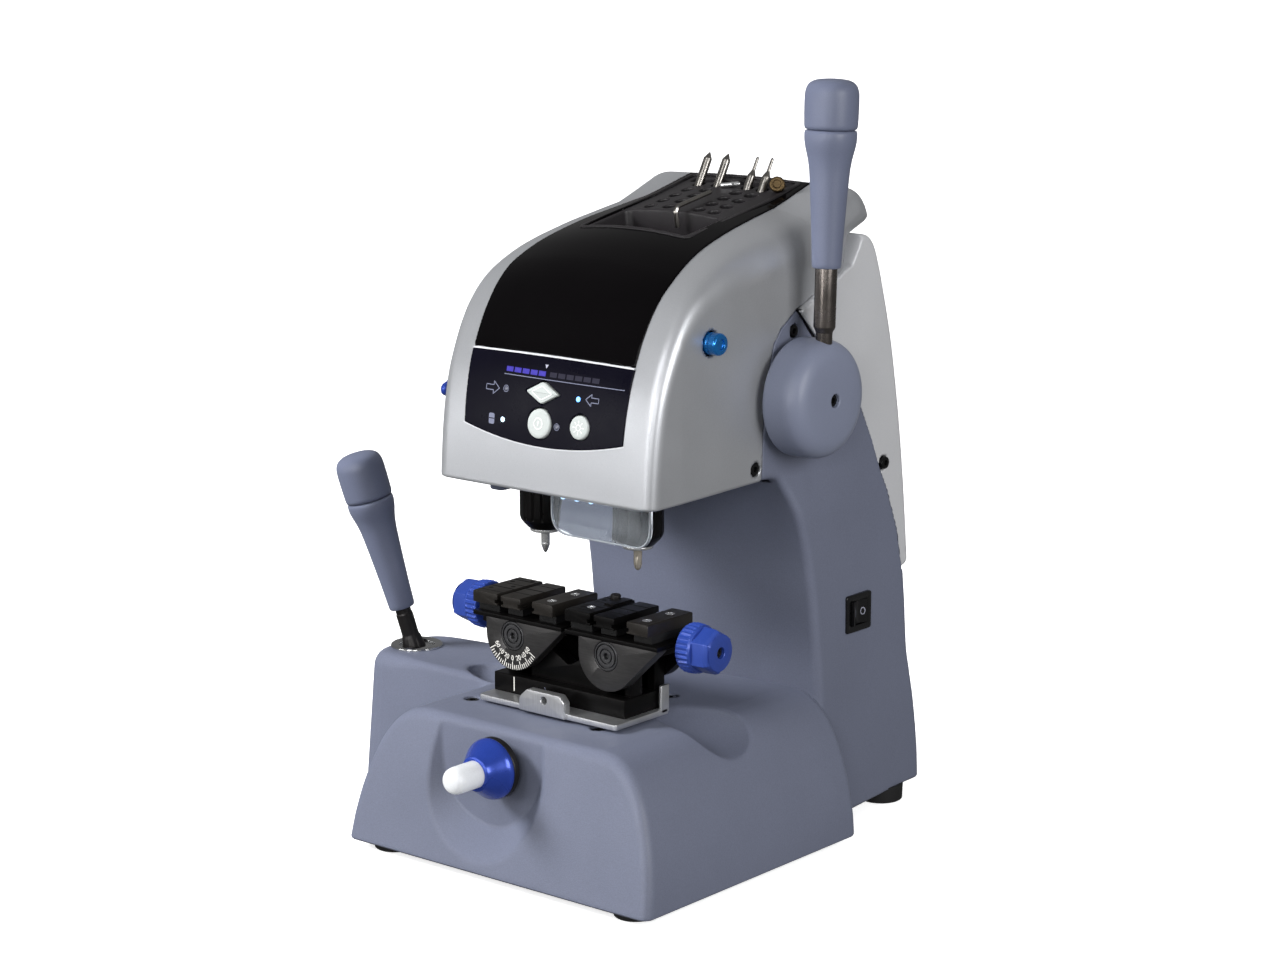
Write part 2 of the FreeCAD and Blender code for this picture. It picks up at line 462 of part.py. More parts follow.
rack_body += [(5.0, 356.0), (-5.0, 356.0)]
keep(side_prism("feed_rack", rack_body, 62.0, 76.0))

# ---------------------------------------------------------------- spindle, cutter
keep(cut("spindle_shaft", turned("spindle_bar", [(0.0, 0.0), (SPIN_R, 0.0), (SPIN_R, 135.0), (9.0, 136.0), (0.0, 136.0)], (TOOL_X, TOOL_Y, 232.0)), cyl("shank_bore", 3.0, 20.0, (TOOL_X, TOOL_Y, 226.0))))
keep(turned("spindle_pulley", [(SPIN_R, 0.0), (R_S + 2.5, 0.0), (R_S + 2.5, 1.2), (R_S, 1.6), (R_S, 11.4), (R_S + 2.5, 11.8), (R_S + 2.5, 13.0), (SPIN_R, 13.0)], (TOOL_X, TOOL_Y, PUL_Z - 1.5)))
COLLET = [(3.0, 0.0), (10.5, 0.0), (10.5, 1.0), (15.4, 6.0), (17.5, 10.0), (17.5, 32.0), (15.5, 33.5), (SPIN_R, 33.5), (SPIN_R, 12.5), (3.0, 12.5)]
keep(turned("cutter_collet", COLLET, (TOOL_X, TOOL_Y, 219.5)))
keep(turned("cutter", [(0.0, 0.0), (1.0, 1.0), (3.0, 6.5), (3.0, 40.0), (0.0, 40.0)], (TOOL_X, TOOL_Y, 204.0)))

# ---------------------------------------------------------------- tracer
T_COLLET = [(3.0, 0.0), (10.5, 0.0), (10.5, 1.0), (15.4, 6.0), (17.5, 10.0), (17.5, 32.0), (15.5, 33.5), (9.0, 33.5), (9.0, 130.0), (0.0, 130.0), (0.0, 26.0), (3.0, 26.0)]
keep(turned("tracer_collet", T_COLLET, (-TOOL_X, TOOL_Y, 219.5)))
keep(turned("tracer_point", [(0.0, 0.0), (0.6, 0.6), (3.0, 5.0), (3.0, 40.0), (0.0, 40.0)], (-TOOL_X, TOOL_Y, 204.0)))

# ---------------------------------------------------------------- feed lever
pin_pts = []
for i in range(20):
    a = 2 * math.pi * (i + 0.5) / 20.0
    for da, r in ((-0.32, PITCH_R - 1.7), (-0.14, PITCH_R + 1.5), (0.14, PITCH_R + 1.5), (0.32, PITCH_R - 1.7)):
        b = a + da * 2 * math.pi / 20.0
        pin_pts.append((62.5, HUB_Y + r * math.cos(b), HUB_Z + r * math.sin(b)))
pinion = feature("pinion_teeth", Part.Face(polygon(pin_pts)).extrude(V(val("pinion_width", 13.0), 0, 0)))
keep(fuse("pinion_shaft", pinion, cyl("lever_shaft", 10.0, 47.5, (62.5, HUB_Y, HUB_Z), X_AXIS)))
hub = turned("hub_blank", [(0.0, 0.0), (37.6, 0.0), (40.3, 3.0), (40.5, 18.0), (39.2, 23.5), (35.6, 28.0), (30.0, 30.6), (22.0, 31.6), (0.0, 32.0)], (104.0, HUB_Y, HUB_Z), X_AXIS)
LEAN = Rotation(V(1, 0, 0), -2.0)
LX = 121.0
rod_pocket = cyl("rod_pocket", 5.5, 60.0, (LX, HUB_Y, HUB_Z), LEAN)
keep(cut("lever_hub", hub, cyl("shaft_pocket", 10.0, 6.0, (104.0, HUB_Y, HUB_Z), X_AXIS), rod_pocket, cyl("hub_screw_pocket", 4.0, 10.0, (131.0, HUB_Y, HUB_Z), X_AXIS)))
keep(turned("lever_rod", [(0.0, 0.0), (5.5, 0.0), (5.5, 46.0), (7.4, 48.0), (7.4, 110.0), (0.0, 110.0)], (LX, HUB_Y, HUB_Z), LEAN))
GRIP = [(7.4, 88.0), (9.4, 88.0), (10.0, 92.0), (10.8, 110.0), (12.6, 140.0), (14.2, 158.0), (16.6, 168.0), (17.4, 174.0), (17.0, 178.6), (0.0, 178.6), (0.0, 110.0), (7.4, 110.0)]
keep(turned("lever_grip", GRIP, (LX, HUB_Y, HUB_Z), LEAN))
keep(turned("lever_cap", [(0.0, 179.2), (16.6, 179.2), (17.7, 181.5), (18.0, 202.0), (16.8, 208.0), (13.0, 211.2), (6.0, 212.6), (0.0, 212.8)], (LX, HUB_Y, HUB_Z), LEAN))

# ---------------------------------------------------------------- control stick
ring = turned("ring_flange", [(12.6, 105.0), (18.6, 105.0), (19.0, 105.7), (18.2, 107.1), (13.6, 107.1), (12.6, 106.3)], (STICK_X, STICK_Y, 0.0))
cup = turned("ring_cup", [(16.2, 84.0), (17.9, 84.0), (17.9, 105.4), (16.2, 105.4)], (STICK_X, STICK_Y, 0.0))
pin_holes = cyl("gimbal_pin_holes", 1.55, 44.0, (STICK_X - 22.0, STICK_Y, STICK_Z), X_AXIS)
keep(cut("stick_ring", fuse("ring_form", ring, cup), pin_holes))
g_ring = turned("gimbal_band", [(11.6, -2.0), (15.4, -2.0), (15.4, 2.0), (11.6, 2.0)], (STICK_X, STICK_Y, STICK_Z))
g_pins = [cyl("gimbal_pin_" + s, 1.5, 4.3, (STICK_X + x, STICK_Y, STICK_Z), X_AXIS) for s, x in (("left", -17.7), ("right", 13.4))]
keep(cut("gimbal_ring", fuse("gimbal_form", g_ring, *g_pins), cyl("stick_pin_hole", 1.55, 40.0, (STICK_X, STICK_Y - 20.0, STICK_Z), Y_AXIS)))
lean_axis = V(-math.sin(math.radians(15.5)) * 0.77, -math.sin(math.radians(15.5)) * 0.64, math.cos(math.radians(15.5)))
STICK_LEAN = Rotation(V(0, 0, 1), lean_axis)
upper = turned("stick_upper", [(0.0, 0.0), (4.6, 0.0), (4.6, 34.0), (5.6, 36.0), (5.6, 60.0), (0.0, 60.0)], (STICK_X, STICK_Y, STICK_Z), STICK_LEAN)
ball = doc.addObject("Part::Sphere", "stick_ball")
bind(ball, "Radius", "stick_ball_rad", 8.2)
place(ball, "stick_ball", (STICK_X, STICK_Y, STICK_Z))
lower = cyl("stick_lower", 4.0, ARM, (STICK_X, STICK_Y, STICK_Z - ARM))
tip = doc.addObject("Part::Sphere", "stick_tip")
bind(tip, "Radius", "stick_tip_rad", 6.0)
place(tip, "stick_tip", (STICK_X, STICK_Y, STICK_Z - ARM))
cross = cyl("stick_cross_pin", 1.5, 30.0, (STICK_X, STICK_Y - 15.0, STICK_Z), Y_AXIS)
keep(fuse("stick_rod", upper, ball, lower, tip, cross))
S_GRIP = [(5.6, 38.0), (9.0, 38.0), (9.6, 42.0), (10.4, 58.0), (12.2, 88.0), (13.8, 103.0), (16.2, 112.0), (16.9, 117.5), (16.5, 121.4), (0.0, 121.4), (0.0, 60.0), (5.6, 60.0)]
keep(turned("stick_grip", S_GRIP, (STICK_X, STICK_Y, STICK_Z), STICK_LEAN))
keep(turned("stick_cap", [(0.0, 122.0), (16.2, 122.0), (17.2, 124.4), (17.4, 147.0), (16.2, 152.4), (12.6, 155.4), (6.0, 156.8), (0.0, 157.0)], (STICK_X, STICK_Y, STICK_Z), STICK_LEAN))

# ---------------------------------------------------------------- cross slides
RAIL = val("rail_radius", 6.0)
keep(group("base_rails", *[cyl("base_rail_" + s, RAIL, 193.0, (x, -148.0, 56.0), Y_AXIS) for s, x in (("left", -62.0), ("right", 62.0))]))
s_plate = box("saddle_plate", -74.0, 74.0, -104.0, -32.0, 46.0, 66.0)
posts = [box("saddle_post_%s_%s" % (a, b), x, x + 12.0, y, y + 16.0, 66.0, 90.0) for a, x in (("left", -74.0), ("right", 62.0)) for b, y in (("front", -102.0), ("rear", -50.0))]
rail_bores = [cyl("saddle_bore_" + s, RAIL + 0.05, 200.0, (x, -150.0, 56.0), Y_AXIS) for s, x in (("left", -62.0), ("right", 62.0))]
x_holes = [cyl("saddle_hole_" + s, RAIL, 200.0, (-100.0, y, 82.0), X_AXIS) for s, y in (("front", -94.0), ("rear", -42.0))]
saddle = cut("saddle_bored", fuse("saddle_form", s_plate, *posts), *(rail_bores + x_holes))
keep(fuse("cross_saddle", saddle, *[cyl("saddle_rail_" + s, RAIL, 148.0, (-74.0, y, 82.0), X_AXIS) for s, y in (("front", -94.0), ("rear", -42.0))]))

# ---------------------------------------------------------------- work table
t_body = box("slide_block", -26.0, 26.0, -103.0, -33.0, 71.0, 93.0)
t_stem = box("table_stem", -20.0, 20.0, -88.0, -48.0, 92.0, 106.5)
arm_a = front_prism("drive_arm_bend", [(-96.0, 21.0), (-88.0, 21.0), (-88.0, 67.0), (-24.0, 67.0), (-24.0, 74.0), (-90.0, 74.0), (-96.0, 67.0)], -76.0, -60.0)
arm_c = box("drive_arm_foot", -100.0, -88.0, -76.0, -26.0, 21.0, 29.0)
arm_d = prism("drive_arm_outer", [(-92.0, -47.0), (-92.0, -26.0), (-199.0, -26.0), (-205.0, -31.5), (-205.0, -41.0), (-198.0, -47.0)], 8.0, (0.0, 0.0, 21.0))
x_bores = [cyl("slide_bore_" + s, RAIL + 0.05, 80.0, (-40.0, y, 82.0), X_AXIS) for s, y in (("front", -94.0), ("rear", -42.0))]
socket = cyl("stick_socket", 6.7, 20.0, (STICK_X, STICK_Y, 15.0))
keep(cut("drive_block", fuse("drive_form", t_body, t_stem, arm_a, arm_c, arm_d), socket, *x_bores))
tab = front_prism("plate_tab", [(-22.0, 109.0), (-22.0, 116.0), (-15.0, 122.5), (14.0, 122.5), (18.0, 118.0), (18.0, 109.0)], -119.0, -112.5)
rear_tab = box("plate_rear_tab", 58.4, 61.0, -68.5, -60.0, 108.0, 127.0)
keep(cut("table_plate", fuse("plate_form", box("plate_sheet", -61.0, 61.0, -116.5, -60.0, 106.5, 110.5), tab, rear_tab), cyl("tab_hole", 2.6, 20.0, (0.0, -125.0, 117.0), Y_AXIS)))
slab = box("block_slab", -60.0, 56.5, -102.0, -58.0, 110.5, 123.5)
prongs = []
cradle = [(PIV_X + x, PIV_Z + z) for x, z in ((-8.5, 3.5), (0.0, 6.0), (8.5, 1.5), (13.9, -3.0))]
cradle = [(-55.5, 123.0)] + [(-x, z) for x, z in reversed(cradle)] + [(0.0, PIV_Z - 15.6)] + cradle + [(55.5, 123.0)]
for b, y0, y1 in (("front", -92.9, -82.0), ("rear", -69.0, -58.5)):
    prongs.append(front_prism("cradle_" + b, cradle, y0, y1))
for s, px in (("left", -PIV_X), ("right", PIV_X)):
    for b, y0, y1 in (("front", -92.9, -82.0), ("rear", -69.0, -58.5)):
        prongs.append(cyl("prong_eye_%s_%s" % (s, b), 8.5, y1 - y0, (px, y0, PIV_Z), Y_AXIS))
eye_bores = [cyl("eye_bore_" + s, 6.0, 60.0, (px, -100.0, PIV_Z), Y_AXIS) for s, px in (("left", -PIV_X), ("right", PIV_X))]
keep(cut("carriage_block", fuse("block_form", slab, *prongs), *eye_bores))
pins = []
for s, px in (("left", -PIV_X), ("right", PIV_X)):
    pins.append(turned("pivot_front_" + s, [(0.0, 0.0), (6.0, 0.0), (6.0, 19.2), (10.0, 19.2), (10.0, 21.4), (2.5, 21.4), (2.5, 18.0), (0.0, 18.0)], (px, -82.0, PIV_Z), YM_AXIS))
    pins.append(turned("pivot_rear_" + s, [(0.0, 0.0), (6.0, 0.0), (6.0, 21.0), (0.0, 21.0)], (px, -69.0, PIV_Z), Y_AXIS))
keep(group("clamp_pivots", *pins))

# ---------------------------------------------------------------- tilting clamps
TURN = math.radians(193.45 + 30.5)


def clamp_outline():
    """Round lower edge about the pivot, upright left side, slanting right side."""
    pts = [(-24.0, 11.0), (-24.0, 0.0)]
    for k in range(1, 9):
        a = math.pi + k * (math.radians(313.0) - math.pi) / 8
        pts.append((24.0 * math.cos(a), 24.0 * math.sin(a)))
    return pts + [(44.0, 9.2), (44.0, 11.0)]


SCREW_Y, SCREW_DZ = -75.5, 9.4
for s, px, hand in (("left", -PIV_X, -1.0), ("right", PIV_X, 1.0)):
    prof = [(px + x, PIV_Z + z) for x, z in clamp_outline()]
    front = front_prism("%s_face_plate" % s, prof, -103.4, -93.4)
    rear = front_prism("%s_back_plate" % s, prof, -58.0, -48.0)
    top = box("%s_clamp_top" % s, px - 36.0, px + 44.0, -103.4, -48.0, PIV_Z + 9.6, PIV_Z + 13.0)
    jaw_a = box("%s_jaw_outer" % s, px - 36.0, px - 14.0, -103.4, -56.0, PIV_Z + 12.5, PIV_Z + 27.0)
    jaw_c = box("%s_jaw_inner" % s, px + 18.0, px + 36.0, -103.4, -56.0, PIV_Z + 12.5, PIV_Z + 27.0)
    ex = px - 36.0 if hand < 0 else px + 26.0
    end = box("%s_screw_end" % s, ex, ex + 10.0, -93.4, -58.0, PIV_Z + 3.0, PIV_Z + 9.8)
    slot = box("%s_nut_slot" % s, px - 18.5, px + 17.0, -81.5, -69.5, PIV_Z + 5.0, PIV_Z + 13.0)
    run = cyl("%s_screw_run" % s, 3.05, 60.0, (px, SCREW_Y, PIV_Z + SCREW_DZ), X_AXIS if hand > 0 else XM_AXIS)
    pivot_bore = cyl("%s_pivot_bore" % s, 6.05, 70.0, (px, -110.0, PIV_Z), Y_AXIS)
    disc_seat = cyl("%s_disc_seat" % s, 10.3, 2.8, (px, -103.4, PIV_Z), Y_AXIS)
    keep(cut("%s_clamp_body" % s, fuse("%s_clamp_form" % s, front, rear, top, jaw_a, jaw_c, end), slot, run, pivot_bore, disc_seat))
    b_top = box("%s_jaw_head" % s, px - 10.5, px + 7.0, -103.4, -56.0, PIV_Z + 13.3, PIV_Z + 27.0)
    b_nut = box("%s_jaw_nut" % s, px - 7.5, px + 4.5, -81.0, -70.0, PIV_Z + 5.4, PIV_Z + 14.0)
    keep(cut("%s_clamp_jaw" % s, fuse("%s_jaw_form" % s, b_top, b_nut), cyl("%s_nut_thread" % s, 3.05, 40.0, (px - 22.0, SCREW_Y, PIV_Z + SCREW_DZ), X_AXIS)))
    KNOB = [(0.0, 0.0), (3.0, 0.0), (3.0, 44.5), (7.5, 44.5), (7.5, 47.5), (16.4, 48.5), (17.0, 51.0), (16.4, 59.0), (15.4, 60.0), (15.0, 71.0), (13.4, 74.0), (4.0, 75.0), (4.0, 72.0), (0.0, 72.0)]
    keep(turned("%s_clamp_knob" % s, KNOB, (px + 4.0 if hand < 0 else px + 0.5, SCREW_Y, PIV_Z + SCREW_DZ), X_AXIS if hand > 0 else XM_AXIS))

# ---------------------------------------------------------------- front knob, small controls
keep(turned("front_knob", [(0.0, 0.0), (5.0, 0.0), (5.0, 18.5), (20.6, 18.5), (20.9, 24.0), (20.0, 27.6), (14.0, 36.5), (10.6, 40.5), (8.0, 41.0), (8.0, 36.0), (0.0, 36.0)], (KNOB_X, -142.0, 80.0), YM_AXIS))
keep(turned("front_knob_tip", [(0.0, 36.0), (8.0, 36.0), (8.0, 60.0), (7.2, 63.0), (4.6, 64.8), (0.0, 65.2)], (KNOB_X, -142.0, 80.0), YM_AXIS))
keep(turned("side_button", [(0.0, 0.0), (7.5, 0.0), (7.5, 18.6), (6.6, 19.8), (3.4, 20.0), (3.4, 18.4), (0.0, 18.4)], (84.0, -60.0, 362.0), X_AXIS))
l_boss = turned("left_lever_boss", [(0.0, 0.0), (4.0, 0.0), (4.0, 16.0), (8.0, 16.0), (8.0, 22.4), (6.8, 23.6), (0.0, 23.6)], (-80.0, -98.0, 316.0), XM_AXIS)
l_arm = front_prism("left_lever_arm", [(-103.0, 310.0), (-96.4, 310.0), (-96.4, 322.0), (-103.0, 320.0)], -116.0, -98.0)
keep(fuse("left_lever", l_boss, l_arm))
bezel = box("bezel_plate", 101.0, 103.0, 84.5, 113.5, 138.5, 165.5)
frame_in = box("bezel_sleeve", 90.0, 101.5, 87.5, 110.5, 141.5, 162.5)
keep(cut("switch_bezel", fuse("bezel_form", bezel, frame_in), box("bezel_window", 92.0, 110.0, 89.0, 109.0, 143.0, 161.0), cyl("rocker_pin_holes", 1.55, 30.0, (100.6, 99.0, 137.0))))
ROCK_Y = 99.0
rocker = prism("rocker_bar", [(-5.5, -9.0), (2.2, -9.2), (3.4, -9.0), (0.9, 0.0), (3.4, 9.0), (2.2, 9.2), (-5.5, 9.0)], 17.2, (100.6, ROCK_Y, 143.4), Rotation(V(0, 0, 1), 6.0))
keep(fuse("power_rocker", rocker, cyl("rocker_pin", 1.5, 20.4, (100.6, ROCK_Y, 141.8))))
inlet = fuse("inlet_form", box("inlet_flange", 25.0, 75.0, 168.0, 171.0, 31.0, 59.0), box("inlet_body", 35.2, 64.8, 140.0, 168.5, 34.2, 55.8))
keep(cut("power_inlet", inlet, box("inlet_mouth", 38.0, 62.0, 152.0, 175.0, 37.5, 52.5)))
heads = [turned("cover_screw_%s_%s" % (LETTERS[i], "right" if s > 0 else "left"), [(0.0, 0.0), (4.4, 0.0), (4.4, 2.0), (3.4, 2.8), (1.6, 2.8), (1.6, 1.2), (0.0, 1.2)], (s * (x - 2.0), y, z), X_AXIS if s > 0 else XM_AXIS)
         for i, (x, y, z) in enumerate(screw_at) for s in (1, -1)]
keep(group("cover_screws", *heads))

# ---------------------------------------------------------------- check and write
doc.recompute()
bad = [o.Name for o in doc.Objects if "Invalid" in o.State or "Error" in o.State]
if bad:
    raise RuntimeError("failed objects: " + ", ".join(bad))
bad = [name for name, obj in node.items() if obj.Shape.isNull() or not obj.Shape.isValid() or not obj.Shape.Solids]
if bad:
    raise RuntimeError("bad shapes: " + ", ".join(bad))
os.makedirs("parts", exist_ok=True)
for name, obj in node.items():
    obj.Shape.exportStep("parts/%s.step" % name)
    print("%-18s %2d solid(s) %10.1f mm3" % (name, len(obj.Shape.Solids), obj.Shape.Volume))
print(len(node), "nodes,", len(cells), "dimensions")
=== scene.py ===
import bmesh
import bpy
import math
import numpy as np
from mathutils import Matrix, Quaternion, Vector


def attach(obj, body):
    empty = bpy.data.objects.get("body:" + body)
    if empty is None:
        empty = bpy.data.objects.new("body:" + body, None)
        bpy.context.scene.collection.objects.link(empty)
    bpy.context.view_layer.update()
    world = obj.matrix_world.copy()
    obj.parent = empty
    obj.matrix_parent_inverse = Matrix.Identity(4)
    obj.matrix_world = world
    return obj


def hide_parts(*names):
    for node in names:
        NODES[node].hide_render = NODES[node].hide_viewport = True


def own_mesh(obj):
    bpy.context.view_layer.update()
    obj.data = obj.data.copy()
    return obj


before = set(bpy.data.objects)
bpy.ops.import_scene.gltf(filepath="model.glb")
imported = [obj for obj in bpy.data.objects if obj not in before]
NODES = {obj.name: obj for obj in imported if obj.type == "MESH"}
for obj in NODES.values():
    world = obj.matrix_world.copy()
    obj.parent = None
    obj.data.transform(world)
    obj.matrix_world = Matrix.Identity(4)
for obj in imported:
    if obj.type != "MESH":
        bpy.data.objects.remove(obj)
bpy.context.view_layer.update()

MM = 0.001
TAU = 2.0 * math.pi


# ================================================================ materials
def lin(rgb):
    """Screen colour, 0 to 255, to linear light."""
    out = []
    for c in rgb:
        c = c / 255.0
        out.append(c / 12.92 if c <= 0.04045 else ((c + 0.055) / 1.055) ** 2.4)
    return tuple(out)


def shade(c, k):
    return tuple(min(1.0, max(0.0, v * k)) for v in c) + (1.0,)


def material(name, rgb, rough=0.5, metal=0.0, tone=0.05, tone_scale=18.0, grain=0.03, grain_scale=900.0, rough_var=0.06,
             rough_scale=40.0, bump=(), stretch=None, coat=0.0, coat_rough=0.08, spec=0.5, ior=1.45, aniso=0.0, sheen=0.0,
             glow=None, glow_power=0.0, clear=0.0, alpha=1.0, wear=0.0):
    """Layered procedural finish: cloudy tone, fine grain, uneven gloss and relief, all in object space."""
    m = bpy.data.materials.new(name)
    m.use_nodes = True
    t = m.node_tree
    n, l = t.nodes, t.links
    p = n["Principled BSDF"]
    co = n.new("ShaderNodeTexCoord")
    src = co.outputs["Object"]
    if stretch:
        mp = n.new("ShaderNodeMapping")
        mp.inputs["Scale"].default_value = stretch
        l.new(src, mp.inputs["Vector"])
        fine_src = mp.outputs["Vector"]
    else:
        fine_src = src

    def noise(scale, detail, vec, rough_=0.55):
        q = n.new("ShaderNodeTexNoise")
        q.inputs["Scale"].default_value = scale
        q.inputs["Detail"].default_value = detail
        q.inputs["Roughness"].default_value = rough_
        l.new(vec, q.inputs["Vector"])
        return q.outputs["Fac"]

    def ramp(fac, a, b, lo=0.3, hi=0.7):
        q = n.new("ShaderNodeValToRGB")
        q.color_ramp.elements[0].position, q.color_ramp.elements[1].position = lo, hi
        q.color_ramp.elements[0].color, q.color_ramp.elements[1].color = a, b
        l.new(fac, q.inputs["Fac"])
        return q.outputs["Color"]

    base = lin(rgb)
    cloud = ramp(noise(tone_scale, 4.0, src), shade(base, 1.0 - tone), shade(base, 1.0 + tone))
    speck = ramp(noise(grain_scale, 2.0, fine_src), shade((1, 1, 1), 1.0 - grain * 2.0), (1, 1, 1, 1), 0.35, 0.65)
    mix = n.new("ShaderNodeMix")
    mix.data_type, mix.blend_type = "RGBA", "MULTIPLY"
    mix.inputs["Factor"].default_value = 1.0
    l.new(cloud, mix.inputs["A"])
    l.new(speck, mix.inputs["B"])
    colour = mix.outputs["Result"]
    if wear:
        q = n.new("ShaderNodeMix")
        q.data_type, q.blend_type = "RGBA", "MIX"
        l.new(ramp(noise(tone_scale * 3.1, 6.0, src, 0.7), (0, 0, 0, 1), (wear, wear, wear, 1), 0.55, 0.75), q.inputs["Factor"])
        l.new(colour, q.inputs["A"])
        q.inputs["B"].default_value = shade(base, 0.55)
        colour = q.outputs["Result"]
    l.new(colour, p.inputs["Base Color"])
    mr = n.new("ShaderNodeMapRange")
    mr.inputs["From Min"].default_value, mr.inputs["From Max"].default_value = 0.3, 0.7
    mr.inputs["To Min"].default_value, mr.inputs["To Max"].default_value = max(0.02, rough - rough_var), min(1.0, rough + rough_var)
    l.new(noise(rough_scale, 5.0, src, 0.6), mr.inputs["Value"])
    l.new(mr.outputs["Result"], p.inputs["Roughness"])
    last = None
    for scale, strength, depth in bump:
        b = n.new("ShaderNodeBump")
        b.inputs["Strength"].default_value = strength
        b.inputs["Distance"].default_value = depth
        l.new(noise(scale, 3.0, fine_src if stretch else src, 0.5), b.inputs["Height"])
        if last is not None:
            l.new(last, b.inputs["Normal"])
        last = b.outputs["Normal"]
    if last is not None:
        l.new(last, p.inputs["Normal"])
    p.inputs["Metallic"].default_value = metal
    p.inputs["IOR"].default_value = ior
    p.inputs["Specular IOR Level"].default_value = spec
    p.inputs["Coat Weight"].default_value = coat
    p.inputs["Coat Roughness"].default_value = coat_rough
    p.inputs["Sheen Weight"].default_value = sheen
    p.inputs["Anisotropic"].default_value = aniso
    p.inputs["Transmission Weight"].default_value = clear
    p.inputs["Alpha"].default_value = alpha
    if glow:
        p.inputs["Emission Color"].default_value = lin(glow) + (1.0,)
        p.inputs["Emission Strength"].default_value = glow_power
    return m


